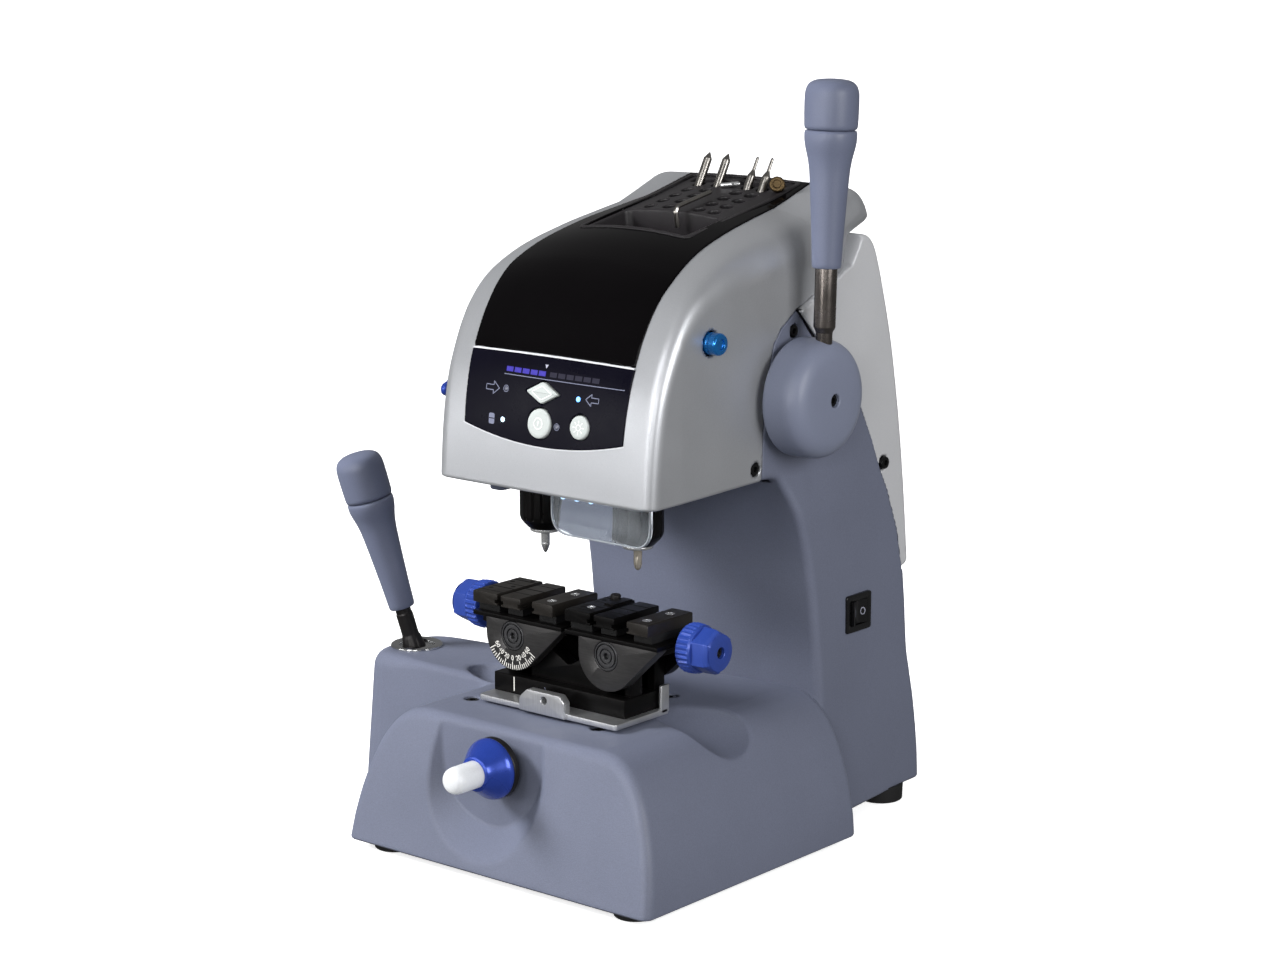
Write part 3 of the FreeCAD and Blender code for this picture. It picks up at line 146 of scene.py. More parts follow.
M = {
    "housing": material("housing_grey_texture", (109, 114, 132), rough=0.48, tone=0.05, tone_scale=9, grain=0.05, grain_scale=1100,
                        rough_var=0.05, bump=((1500, 0.30, 0.0004), (520, 0.10, 0.0006)), spec=0.42),
    "handle": material("handle_grey", (104, 110, 131), rough=0.43, tone=0.04, tone_scale=14, grain=0.03, grain_scale=1400, bump=((1900, 0.10, 0.0003),), spec=0.45),
    "hub": material("hub_grey", (124, 130, 150), rough=0.40, tone=0.04, tone_scale=14, grain=0.03, grain_scale=1400, bump=((1900, 0.10, 0.0003),), spec=0.45),
    "silver": material("cover_silver_paint", (186, 188, 192), rough=0.40, metal=0.62, tone=0.03, tone_scale=7, grain=0.05, grain_scale=2600,
                       rough_var=0.05, rough_scale=22, bump=((2600, 0.06, 0.0002),), coat=0.10, coat_rough=0.30),
    "rear": material("rear_cover_grey", (212, 213, 216), rough=0.46, metal=0.25, tone=0.03, tone_scale=8, grain=0.03, grain_scale=1900, bump=((1700, 0.10, 0.0003),)),
    "gloss": material("gloss_black_film", (6, 5, 6), rough=0.12, tone=0.2, tone_scale=12, grain=0.02, rough_var=0.03, rough_scale=30, spec=0.14, bump=((60, 0.010, 0.001),)),
    "navy": material("panel_navy_film", (10, 9, 20), rough=0.30, tone=0.08, tone_scale=20, grain=0.05, grain_scale=2200, rough_var=0.05, spec=0.08, bump=((1800, 0.05, 0.0002),)),
    "key": material("key_light_grey", (190, 196, 194), rough=0.42, tone=0.03, grain=0.05, grain_scale=1800, bump=((1500, 0.12, 0.0002),)),
    "ink": material("symbol_white", (176, 178, 196), rough=0.5, tone=0.03, grain=0.04),
    "ink_dim": material("symbol_dim", (120, 124, 146), rough=0.5, tone=0.05, grain=0.05),
    "mark": material("symbol_grey_on_key", (238, 240, 240), rough=0.5, tone=0.03, grain=0.03),
    "bar": material("gauge_violet", (52, 44, 150), rough=0.35, tone=0.1, tone_scale=300, grain=0.05, glow=(70, 60, 190), glow_power=0.08),
    "bar_off": material("gauge_dark", (21, 19, 40), rough=0.4, tone=0.1, tone_scale=300, grain=0.05),
    "led_off": material("lens_dim", (92, 94, 108), rough=0.2, tone=0.1, tone_scale=500, grain=0.03, coat=0.5),
    "led_blue": material("lens_blue_lit", (130, 190, 255), rough=0.2, tone=0.05, grain=0.02, glow=(90, 165, 255), glow_power=3.2),
    "led_white": material("lens_white_lit", (210, 235, 255), rough=0.2, tone=0.05, grain=0.02, glow=(200, 232, 255), glow_power=2.0),
    "lamp": material("work_lamp_lit", (225, 240, 255), rough=0.2, tone=0.03, grain=0.02, glow=(170, 214, 255), glow_power=1.6),
    "tray": material("tray_black_moulded", (38, 36, 38), rough=0.40, tone=0.12, tone_scale=30, grain=0.06, grain_scale=1500, bump=((1600, 0.14, 0.0002),), spec=0.5),
    # near-black painted shade: stands in for the shade inside holes and grooves and in the gaps under the clamp jaws
    "hole": material("socket_shadow_black", (9, 9, 10), rough=0.7, tone=0.15, tone_scale=60, grain=0.05),
    "steel": material("tool_steel_ground", (176, 172, 166), rough=0.28, metal=1.0, tone=0.07, tone_scale=60, grain=0.10, grain_scale=60, rough_var=0.07, stretch=(30, 30, 1.0), bump=((60, 0.05, 0.0002),), aniso=0.3),
    "bright": material("bright_steel", (208, 209, 210), rough=0.22, metal=0.8, tone=0.05, tone_scale=70, grain=0.05, grain_scale=800, rough_var=0.05, bump=((900, 0.03, 0.0002),)),
    "gold": material("cutter_coated", (198, 190, 176), rough=0.26, metal=0.7, tone=0.10, tone_scale=120, grain=0.06, grain_scale=900, rough_var=0.06, bump=((700, 0.04, 0.0002),)),
    "gun": material("gunmetal_turned", (112, 106, 102), rough=0.27, metal=1.0, tone=0.06, tone_scale=40, grain=0.12, grain_scale=40, rough_var=0.06, stretch=(1, 1, 60), bump=((40, 0.05, 0.0002),), aniso=0.4),
    "socket": material("stick_socket_black", (38, 36, 36), rough=0.36, metal=0.5, tone=0.08, tone_scale=60, grain=0.06, grain_scale=1200, bump=((1200, 0.06, 0.0002),)),
    "chrome": material("ring_chrome", (214, 215, 216), rough=0.16, metal=1.0, tone=0.05, tone_scale=50, grain=0.04, grain_scale=700, rough_var=0.05, bump=((500, 0.03, 0.0002),)),
    "black": material("black_oxide_steel", (12, 11, 11), rough=0.34, metal=0.35, tone=0.14, tone_scale=45, grain=0.10, grain_scale=1200, rough_var=0.08, bump=((1300, 0.08, 0.0002),), spec=0.22),
    "face": material("clamp_face_satin", (74, 73, 73), rough=0.40, metal=0.75, tone=0.05, tone_scale=40, grain=0.08, grain_scale=120, rough_var=0.06, stretch=(1, 1, 9), bump=((220, 0.04, 0.0002),), aniso=0.3),
    # jaw finish: random wear on dark oxide, with a lighter base that also paints in the sheen the jaw tops reflect
    "jaw": material("jaw_wear_and_painted_sheen", (40, 37, 34), rough=0.36, metal=0.35, tone=0.16, tone_scale=60, grain=0.10, grain_scale=900, rough_var=0.09, bump=((900, 0.08, 0.0002),), wear=0.5),
    "disc": material("pivot_turned_steel", (92, 92, 94), rough=0.34, metal=0.8, tone=0.06, tone_scale=60, grain=0.08, grain_scale=800, rough_var=0.06, bump=((900, 0.04, 0.0002),)),
    "plate": material("table_plate_satin", (212, 213, 215), rough=0.36, metal=0.9, tone=0.04, tone_scale=30, grain=0.05, grain_scale=130, rough_var=0.06, stretch=(9, 1, 1), bump=((200, 0.03, 0.0002),)),
    "blue": material("knob_blue", (50, 76, 164), rough=0.33, metal=0.25, tone=0.08, tone_scale=60, grain=0.05, grain_scale=1500, rough_var=0.06, bump=((1500, 0.06, 0.0002),), coat=0.25, coat_rough=0.2),
    "blue_deep": material("knob_blue_anodised", (44, 72, 172), rough=0.26, metal=0.45, tone=0.08, tone_scale=50, grain=0.05, grain_scale=1200, rough_var=0.05, bump=((1200, 0.04, 0.0002),), coat=0.3, coat_rough=0.12),
    "blue_sky": material("plunger_blue_anodised", (30, 122, 200), rough=0.24, metal=0.7, tone=0.08, tone_scale=60, grain=0.05, grain_scale=1200, rough_var=0.05, bump=((1200, 0.04, 0.0002),), coat=0.3, coat_rough=0.12),
    # frosted tip: a faint white glow on a part that is no lamp, painted brightness
    "frost": material("tip_frosted_clear_painted_glow", (246, 248, 250), rough=0.34, tone=0.03, tone_scale=90, grain=0.05, grain_scale=1500, rough_var=0.08, clear=0.30, ior=1.49, bump=((700, 0.10, 0.0003),), glow=(255, 255, 255), glow_power=0.05),
    "glass": material("shield_acrylic", (222, 228, 234), rough=0.05, tone=0.02, grain=0.01, rough_var=0.02, clear=0.94, ior=1.34, spec=0.5, bump=((30, 0.02, 0.0008),)),
    # shield edge lines: light grey with a faint glow, a painted highlight where the acrylic edges catch the light
    "edge": material("shield_edge_painted_highlight", (150, 154, 160), rough=0.25, tone=0.03, grain=0.03, grain_scale=1500, glow=(226, 232, 236), glow_power=0.02),
    "rubber": material("rubber_black", (22, 22, 23), rough=0.72, tone=0.12, tone_scale=50, grain=0.10, grain_scale=900, bump=((900, 0.25, 0.0003),)),
    "switch": material("switch_black", (14, 14, 16), rough=0.28, tone=0.10, tone_scale=60, grain=0.05, grain_scale=1300, bump=((1400, 0.06, 0.0002),)),
    "cast": material("casting_machined", (150, 151, 153), rough=0.42, metal=0.9, tone=0.08, tone_scale=30, grain=0.08, grain_scale=500, bump=((500, 0.10, 0.0004),)),
    "dark": material("dark_plate_paint", (34, 34, 37), rough=0.5, tone=0.08, tone_scale=25, grain=0.06, grain_scale=1300, bump=((1300, 0.15, 0.0003),)),
    "screw": material("screw_black_oxide", (26, 26, 27), rough=0.33, metal=0.6, tone=0.10, tone_scale=150, grain=0.06, grain_scale=1500, bump=((1500, 0.05, 0.0002),)),
    "brown": material("bronze_knurl", (92, 76, 52), rough=0.38, metal=0.9, tone=0.10, tone_scale=150, grain=0.08, grain_scale=1200, bump=((900, 0.10, 0.0003),)),
    "scale": material("scale_white_fill", (228, 226, 220), rough=0.55, tone=0.04, grain=0.05, grain_scale=1500),
    "lip": material("panel_edge_line", (206, 208, 212), rough=0.4, tone=0.04, grain=0.04, grain_scale=1500),
}


# ================================================================ meshes
def make(name, verts, faces, mat, body, node=(), slot=None, normals=None, sharp=None, bevel=0.0, segments=3):
    """One mesh piece in the shared frame. verts are millimetres."""
    v = np.asarray(verts, dtype=np.float64) * MM
    me = bpy.data.meshes.new(name)
    if isinstance(faces, np.ndarray):
        count = np.full(len(faces), faces.shape[1])
        loops = faces.ravel()
    else:
        count = np.array([len(f) for f in faces])
        loops = np.array([i for f in faces for i in f])
    me.vertices.add(len(v))
    me.vertices.foreach_set("co", v.ravel())
    me.loops.add(len(loops))
    me.loops.foreach_set("vertex_index", loops.astype(np.int32))
    me.polygons.add(len(count))
    me.polygons.foreach_set("loop_start", np.concatenate([[0], np.cumsum(count)[:-1]]).astype(np.int32))
    me.update(calc_edges=True)
    if normals is None and len(count) > 1:
        bm = bmesh.new()
        bm.from_mesh(me)
        bmesh.ops.recalc_face_normals(bm, faces=bm.faces[:])
        bm.to_mesh(me)
        bm.free()
    me.validate()
    me.polygons.foreach_set("use_smooth", np.ones(len(me.polygons), dtype=bool))
    if normals is not None:
        me.normals_split_custom_set_from_vertices(normals.tolist())
    elif not bevel:
        me.set_sharp_from_angle(angle=math.radians(sharp if sharp else 38.0))
    o = bpy.data.objects.new(name, me)
    bpy.context.scene.collection.objects.link(o)
    me.materials.append(mat)
    if bevel:
        b = o.modifiers.new("edge_round", "BEVEL")
        b.width = bevel * MM
        b.segments = segments
        b.limit_method = "ANGLE"
        b.angle_limit = math.radians(28.0)
        b.harden_normals = True
        b.use_clamp_overlap = True
    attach(o, body)
    if node:
        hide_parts(*([node] if isinstance(node, str) else node))
    return o


def frame_to(at, axis, up=None):
    """4x4 placing local z along axis at a point."""
    q = Vector((0, 0, 1)).rotation_difference(Vector(axis).normalized())
    return np.array(Matrix.Translation(Vector(at)) @ q.to_matrix().to_4x4())


def put(mat4, v):
    v = np.asarray(v, float)
    return v @ mat4[:3, :3].T + mat4[:3, 3]


def rounded(pts, r, seg=5):
    """Open line with its inner corners rounded; r is one number or one per corner."""
    out = [np.array(pts[0], float)]
    for i in range(1, len(pts) - 1):
        p, a, b = np.array(pts[i], float), np.array(pts[i - 1], float), np.array(pts[i + 1], float)
        ri = r[i] if isinstance(r, (list, tuple)) else r
        da, db = np.linalg.norm(a - p), np.linalg.norm(b - p)
        k = min(ri, 0.48 * da, 0.48 * db)
        if k < 1e-6:
            out.append(p)
            continue
        s, e = p + (a - p) / da * k, p + (b - p) / db * k
        for j in range(seg + 1):
            u = j / seg
            out.append((1 - u) ** 2 * s + 2 * u * (1 - u) * p + u * u * e)
    out.append(np.array(pts[-1], float))
    return np.array(out)


def rounded_loop(pts, r, seg=5):
    """Closed outline with rounded corners."""
    n = len(pts)
    out = []
    for i in range(n):
        p, a, b = np.array(pts[i], float), np.array(pts[i - 1], float), np.array(pts[(i + 1) % n], float)
        ri = r[i] if isinstance(r, (list, tuple)) else r
        da, db = np.linalg.norm(a - p), np.linalg.norm(b - p)
        k = min(ri, 0.48 * da, 0.48 * db)
        if k < 1e-6:
            out.append(p)
            continue
        s, e = p + (a - p) / da * k, p + (b - p) / db * k
        for j in range(seg + 1):
            u = j / seg
            out.append((1 - u) ** 2 * s + 2 * u * (1 - u) * p + u * u * e)
    return np.array(out)


def spline(pts, step=2.0, closed=False):
    """Smooth curve through the points."""
    p = np.array(pts, float)
    n = len(p)
    out = []
    last = n if closed else n - 1
    for i in range(last):
        if closed:
            a, b, c, d = p[(i - 1) % n], p[i], p[(i + 1) % n], p[(i + 2) % n]
        else:
            a, b, c, d = p[max(i - 1, 0)], p[i], p[i + 1], p[min(i + 2, n - 1)]
        m = max(2, int(np.linalg.norm(c - b) / step))
        ka, kc = max(np.linalg.norm(b - a), 1e-6), max(np.linalg.norm(d - c), 1e-6)
        kb = max(np.linalg.norm(c - b), 1e-6)
        t0 = (c - a) / (ka + kb) * kb if ka > 1e-5 else (c - b)
        t1 = (d - b) / (kb + kc) * kb if kc > 1e-5 else (c - b)
        for j in range(m):
            u = j / m
            out.append((2 * u ** 3 - 3 * u ** 2 + 1) * b + (u ** 3 - 2 * u ** 2 + u) * t0 + (-2 * u ** 3 + 3 * u ** 2) * c + (u ** 3 - u ** 2) * t1)
    if not closed:
        out.append(p[-1])
    return np.array(out)


def lathe(profile, n=96, shape=None):
    """Turned form about local z. shape(angle, r, z) may change the radius."""
    prof = np.asarray(profile, float)
    ang = np.arange(n) * TAU / n
    v = []
    for r, z in prof:
        rr = np.full(n, r) if shape is None else np.array([shape(a, r, z) for a in ang])
        v.append(np.stack([rr * np.cos(ang), rr * np.sin(ang), np.full(n, z)], 1))
    v = np.concatenate(v)
    f = []
    m = len(prof)
    for i in range(m - 1):
        for j in range(n):
            k = (j + 1) % n
            f.append((i * n + j, i * n + k, (i + 1) * n + k, (i + 1) * n + j))
    if prof[0][0] > 1e-6:
        f.append(tuple(range(n - 1, -1, -1)))
    if prof[-1][0] > 1e-6:
        f.append(tuple((m - 1) * n + j for j in range(n)))
    return v, f


def turned(name, profile, at, axis, mat, body, n=96, shape=None, r=0.6, **k):
    v, f = lathe(rounded(profile, r) if r else profile, n, shape)
    return make(name, put(frame_to(at, axis), v), f, mat, body, **k)


def loft_loops(loops, cap=True):
    loops = [np.asarray(q, float) for q in loops]
    n = len(loops[0])
    v = np.concatenate(loops)
    f = []
    for i in range(len(loops) - 1):
        for j in range(n):
            k = (j + 1) % n
            f.append((i * n + j, i * n + k, (i + 1) * n + k, (i + 1) * n + j))
    if cap:
        f.append(tuple(range(n - 1, -1, -1)))
        f.append(tuple((len(loops) - 1) * n + j for j in range(n)))
    return v, f


def offset_loop(p, d):
    """Shrinks a counter-clockwise outline by d."""
    p = np.asarray(p, float)
    a, b = np.roll(p, 1, 0), np.roll(p, -1, 0)
    e0, e1 = p - a, b - p
    e0 /= np.maximum(np.linalg.norm(e0, axis=1, keepdims=True), 1e-9)
    e1 /= np.maximum(np.linalg.norm(e1, axis=1, keepdims=True), 1e-9)
    n0, n1 = np.stack([-e0[:, 1], e0[:, 0]], 1), np.stack([-e1[:, 1], e1[:, 0]], 1)
    m = n0 + n1
    m /= np.maximum((m * (n0 + n1)).sum(1, keepdims=True) / 2.0, 0.3)
    return p + m * d


def slab(name, outline, z0, z1, mat, body, m4=None, edge=0.5, seg=3, sharp=None, **k):
    """Plate of one outline with rounded rims; m4 places local xy and z."""
    p = np.asarray(outline, float)
    if ((p[:, 0] * np.roll(p[:, 1], -1)) - (np.roll(p[:, 0], -1) * p[:, 1])).sum() < 0:
        p = p[::-1]
    loops = [np.column_stack([offset_loop(p, edge * (1 - math.sin(math.pi / 2 * i / seg))), np.full(len(p), z0 + edge * (1 - math.cos(math.pi / 2 * i / seg)))]) for i in range(seg + 1)]
    loops += [np.column_stack([offset_loop(p, edge * (1 - math.cos(math.pi / 2 * i / seg))), np.full(len(p), z1 - edge * (1 - math.sin(math.pi / 2 * i / seg)))]) for i in range(seg + 1)]
    v, f = loft_loops(loops)
    if m4 is not None:
        v = put(m4, v)
    return make(name, v, f, mat, body, sharp=sharp, **k)


def axes(at, ex, ey, ez):
    m = np.eye(4)
    m[:3, 0], m[:3, 1], m[:3, 2], m[:3, 3] = ex, ey, ez, at
    return m


def along_y(y):
    """Outlines in (x, z), thickness towards the operator from y."""
    return axes((0, y, 0), (1, 0, 0), (0, 0, 1), (0, -1, 0))


def along_x(x):
    """Outlines in (y, z), thickness towards +X from x."""
    return axes((x, 0, 0), (0, 1, 0), (0, 0, 1), (1, 0, 0))


def brick(name, x0, x1, y0, y1, z0, z1, mat, body, edge=0.5, corner=0.0, **k):
    pts = [(x0, y0), (x1, y0), (x1, y1), (x0, y1)]
    out = rounded_loop(pts, corner, 5) if corner else pts
    return slab(name, out, z0, z1, mat, body, edge=edge, **k)


# ================================================================ implicit shells
def field(poly, pad=30.0, h=1.0):
    """Signed distance to a closed outline, tabulated; returns a lookup."""
    p = np.asarray(poly, float)
    lo, hi = p.min(0) - pad, p.max(0) + pad
    gx, gy = np.arange(lo[0], hi[0] + h, h), np.arange(lo[1], hi[1] + h, h)
    q = np.stack(np.meshgrid(gx, gy, indexing="ij"), -1).reshape(-1, 2)
    best = np.full(len(q), 1e9)
    inside = np.zeros(len(q), bool)
    for a, b in zip(p, np.roll(p, -1, 0)):
        e = b - a
        w = q - a
        t = np.clip((w @ e) / max(e @ e, 1e-12), 0, 1)
        best = np.minimum(best, ((w - t[:, None] * e) ** 2).sum(1))
        c = (a[1] > q[:, 1]) != (b[1] > q[:, 1])
        if a[1] != b[1]:
            inside ^= c & (q[:, 0] < (b[0] - a[0]) * (q[:, 1] - a[1]) / (b[1] - a[1]) + a[0])
    d = np.sqrt(best)
    d[inside] *= -1
    d = d.reshape(len(gx), len(gy))

    def look(u, v):
        i = np.clip((u - lo[0]) / h, 0, len(gx) - 1.001)
        j = np.clip((v - lo[1]) / h, 0, len(gy) - 1.001)
        i0, j0 = i.astype(np.int32), j.astype(np.int32)
        fi, fj = i - i0, j - j0
        return (d[i0, j0] * (1 - fi) + d[i0 + 1, j0] * fi) * (1 - fj) + (d[i0, j0 + 1] * (1 - fi) + d[i0 + 1, j0 + 1] * fi) * fj

    return look


def smax(a, b, k):
    h = np.maximum(k - np.abs(a - b), 0.0) / k
    return np.maximum(a, b) + h * h * k * 0.25


def smin(a, b, k):
    return -smax(-a, -b, k)


def box_d(x, y, z, x0, x1, y0, y1, z0, z1):
    return np.maximum.reduce([x0 - x, x - x1, y0 - y, y - y1, z0 - z, z - z1])


def skin(fn, lo, hi, h):
    """Quad mesh of the zero set of fn, its corners drawn onto the exact surface."""
    g = [np.arange(lo[i], hi[i] + h, h) for i in range(3)]
    X, Y, Z = np.meshgrid(*g, indexing="ij")
    val = fn(X, Y, Z)
    s = val < 0
    nx, ny, nz = val.shape
    acc = np.zeros((nx - 1, ny - 1, nz - 1, 3))
    num = np.zeros((nx - 1, ny - 1, nz - 1))
    corners = [(i, j, k) for i in (0, 1) for j in (0, 1) for k in (0, 1)]

    def sub(a, c):
        return a[c[0]:nx - 1 + c[0], c[1]:ny - 1 + c[1], c[2]:nz - 1 + c[2]]

    for ax in range(3):
        for c in corners:
            if c[ax]:
                continue
            e = list(c)
            e[ax] = 1
            a, b = sub(val, c), sub(val, e)
            x = (a < 0) != (b < 0)
            t = np.where(x, a / np.where(x, a - b, 1.0), 0.0)
            for q in range(3):
                acc[..., q] += np.where(x, c[q] + (t if q == ax else 0.0), 0.0)
            num += x
    on = num > 0
    idx = -np.ones(on.shape, np.int64)
    idx[on] = np.arange(on.sum())
    cell = np.argwhere(on)
    v = (cell + acc[on] / num[on][:, None]) * h + np.array([g[0][0], g[1][0], g[2][0]])
    quads = []
    for ax in range(3):
        o1, o2 = (ax + 1) % 3, (ax + 2) % 3
        sl0, sl1 = [slice(None)] * 3, [slice(None)] * 3
        sl0[ax], sl1[ax] = slice(0, -1), slice(1, None)
        a, b = s[tuple(sl0)], s[tuple(sl1)]
        for flip in (False, True):
            e = np.argwhere((a & ~b) if not flip else (~a & b))
            e = e[(e[:, o1] > 0) & (e[:, o2] > 0) & (e[:, o1] < val.shape[o1] - 1) & (e[:, o2] < val.shape[o2] - 1)]
            if not len(e):
                continue
            q = []
            for d1, d2 in ((-1, -1), (0, -1), (0, 0), (-1, 0)):
                w = e.copy()
                w[:, o1] += d1
                w[:, o2] += d2
                q.append(idx[w[:, 0], w[:, 1], w[:, 2]])
            q = np.stack(q, 1)
            quads.append(q[:, ::-1] if flip else q)
    quads = np.concatenate(quads)
    eps = 0.15

    def grad(p):
        out = np.empty_like(p)
        for i in range(3):
            d = np.zeros(3)
            d[i] = eps
            out[:, i] = (fn(*(p + d).T) - fn(*(p - d).T)) / (2 * eps)
        return out

    for _ in range(4):
        gr = grad(v)
        f0 = fn(*v.T)
        step = (f0 / np.maximum((gr ** 2).sum(1), 0.05))[:, None] * gr
        ln = np.linalg.norm(step, axis=1, keepdims=True)
        v = v - step * np.minimum(1.0, 0.6 * h / np.maximum(ln, 1e-9))
    gr = grad(v)
    nrm = gr / np.maximum(np.linalg.norm(gr, axis=1, keepdims=True), 1e-9)
    return v, quads, nrm


def shell(name, fn, lo, hi, h, mat, **k):
    v, q, nrm = skin(fn, lo, hi, h)
    return make(name, v, q, mat, "machine", normals=nrm, **k)


def rbox2(u, v, cu, cv, hu, hv, r):
    a, b = np.abs(u - cu) - (hu - r), np.abs(v - cv) - (hv - r)
    return np.hypot(np.maximum(a, 0), np.maximum(b, 0)) + np.minimum(np.maximum(a, b), 0) - r


# ---------------------------------------------------------------- base with the wing
_half = spline([(134.4, 6), (133, 22), (130.2, 38), (126.8, 51), (123.2, 61.5), (119.5, 71), (115.2, 79.5), (110.2, 87), (104.4, 93.4), (97.4, 98.8), (89, 102.6), (78, 104.4)], 2.5)
_half = np.concatenate([[(135.4, -25.0)], _half])
F_BLOCK = field(np.concatenate([_half, (_half * [-1, 1])[::-1]]))
F_WING = field(rounded_loop([(-40, -77), (-227.5, -77), (-227.5, 12), (-40, 15)], [0, 36, 40, 0], 8))


F_SEAT = field(spline([(-61, 150), (-60.5, 85), (-59, 70), (-55, 57), (-49.5, 48.6), (-41, 41.4), (-31, 36.8), (-16, 34.2), (-6, 35.5), (2.4, 39.2), (10, 45), (17.7, 53), (23, 60.5), (26.7, 68), (29, 80), (30, 100), (30, 150)], 2.0))


def base_outer(x, y, z):
    front = ((-173.5 + 0.203 * (z - 6.0)) - y) * 0.98
    d = smax(F_BLOCK(x, z), front, 8.0)
    d = smax(d, y - 57.4, 8.0)
    wing = smax(F_WING(x, y) + 0.075 * (z - 6.0), z - 105.0, 13.0 - 8.0 * np.clip((x + 208.0) / 50.0, 0, 1))
    d = smin(d, wing, 3.0)
    rec = smax((F_SEAT(x, z) + 1.1 * (y + 153.5)) / 1.49, y + 153.5, 1.2)
    d = smax(d, -rec, 1.5)
    for side, tilt, zc, ru, ry, rw in ((1.0, 15.0, 108.0, 60.0, 28.0, 20.5), (-1.0, 9.0, 109.3, 43.0, 20.0, 14.2)):
        ca, sa = math.cos(math.radians(tilt)), math.sin(math.radians(tilt))
        u, w = (side * x - 86.0) * ca - (z - zc) * sa, (side * x - 86.0) * sa + (z - zc) * ca
        e = (np.sqrt((u / ru) ** 2 + ((y + 50.0) / ry) ** 2 + (w / rw) ** 2) - 1.0) * rw * 0.8
        d = smax(d, -e, 2.0)
    return d


BASE_SCREWS = [(-70.8, -112.3), (42.7, -112.0), (29.5, -20.5), (-70.0, -20.5)]


def base_shell(x, y, z):
    o = base_outer(x, y, z)
    d = smax(o, 6.0 - z, 2.0)
    d = np.maximum(d, -np.maximum(o + 4.6, y - 50.0))
    d = smax(d, -np.maximum(rbox2(x, y, 0.0, -68.0, 36.0, 40.0, 5.0), 88.0 - z), 1.6)
    d = smax(d, -np.maximum(np.hypot(x + 196.5, y + 36.4) - 18.05, 82.0 - z), 0.8)
    d = smax(d, -np.maximum(np.hypot(x + 4.5, z - 80.0) - 5.4, y + 140.0), 0.6)
    for sx, sy in BASE_SCREWS:
        d = smax(d, -np.maximum(np.hypot(x - sx, y - sy) - 5.4, 100.4 - z), 0.9)
    return d


shell("base_body", base_shell, (-231, -178, 2), (139, 62, 109), 1.6, M["housing"], node="base_housing", slot="housing_grey")
for i, (sx, sy) in enumerate(BASE_SCREWS):
    v, f = lathe(rounded([(0, 101.4), (0.001, 101.4), (2.1, 101.4), (2.1, 103.5), (4.0, 103.5), (4.5, 102.9), (4.5, 99.8), (0.001, 99.8)], 0.2), 40)
    make("base_screw_%d" % i, v + [sx, sy, 0], f, M["screw"], "machine", slot="screw_black")

# ---------------------------------------------------------------- column
_front = spline([(54.6, 20), (54.6, 60), (54.6, 98), (53.2, 113), (49.6, 142), (46, 171), (41, 197), (36, 215), (31, 229), (26.4, 240), (20.6, 250.6), (14.5, 258.0), (6.0, 260.4), (-10, 260.8)], 3.0)
_rear = spline([(154, 300), (155.4, 230), (157, 201), (159.6, 179), (163, 149), (166.7, 112.5), (171, 95), (177, 71), (182.2, 40), (184.6, 12), (185, -20)], 3.0)
F_COL = field(np.concatenate([[(54.6, -25.0)], _front, [(-45, 264), (-45, 430), (150, 430)], _rear, [(185.0, -25.0)]]), h=1.0)
F_COL_SEAM = field(np.array([(-3.8, 250), (-3.8, 263), (-2.9, 283), (-1.0, 310), (3.0, 333), (8.4, 352), (16, 361.5), (32.2, 371.9), (43.3, 360.2), (103.3, 298.6), (118.4, 271.7), (129.3, 247.7), (137.3, 232.7), (150.3, 201.1), (156.4, 171.2), (230, 171), (230, -40), (-60, -40), (-60, 250)]))


def column_side(y, z):
    w = 102.6 - 1.6 * np.clip((z - 150.0) / 110.0, 0, 1) - 0.028 * np.maximum(y - 40.0, 0)
    t, u = np.clip((z - 226.0) / 40.0, 0, 1), np.clip((y - 45.0) / 55.0, 0, 1)
    return w - 5.6 * t * t * (3.0 - 2.0 * t) * (1.0 - 0.8 * u * u * (3.0 - 2.0 * u))


def column_outer(x, y, z):
    bow = -12.0 * (1.0 - np.sqrt(x * x + 300.0) / 105.0) * np.clip(1.0 - (z - 110.0) / 170.0, 0.12, 1.0)
    bow = bow * np.clip((120.0 - y) / 60.0, 0, 1)
    return smax(F_COL(y - bow, z), np.abs(x) - column_side(y, z), 6.5)


def column_shell(x, y, z):
    o = column_outer(x, y, z)
    d = smax(smax(o, F_COL_SEAM(y, z) - 0.3, 0.7), 6.0 + 5.0 * np.clip((y - 60.0) / 100.0, 0, 1) - z, 2.0)
    seat = np.maximum(rbox2(x, z, 50.0, 45.0, 33.0, 23.0, 4.0), 160.5 - y)
    d = np.maximum(d, -np.maximum(np.maximum(o + 5.0, z - 252.0), -seat))
    d = smax(d, -np.maximum(np.abs(x) - 86.0, 256.0 - z), 1.0)
    d = np.maximum(d, -np.maximum(np.hypot(y - 27.0, z - 316.0) - 10.2, 80.0 - x))
    d = smax(d, -np.maximum(rbox2(y, z, 99.0, 152.0, 11.6, 10.6, 1.0), 80.0 - x), 0.6)
    d = smax(d, -np.maximum(rbox2(x, z, 50.0, 45.0, 28.0, 18.0, 4.0), 166.4 - y), 1.2)
    d = np.maximum(d, -np.maximum(rbox2(x, z, 50.0, 45.0, 15.2, 11.2, 1.0), 130.0 - y))
    for s in (1.0, -1.0):
        d = smax(d, -np.maximum(np.hypot(y - 30.0, z - 359.0) - 5.0, 92.8 - s * x), 0.8)
    return d


shell("column_body", column_shell, (-107, -8, 2), (107, 190, 376), 2.0, M["housing"], node="column_housing", slot="housing_grey")
turned("lever_boss", [(10.2, 0.0), (10.2, 5.4), (22.6, 5.4), (24.0, 4.4), (24.0, 0.0)], (94.6, 27, 316), (1, 0, 0), M["housing"], "machine", r=0.5, slot="housing_grey")

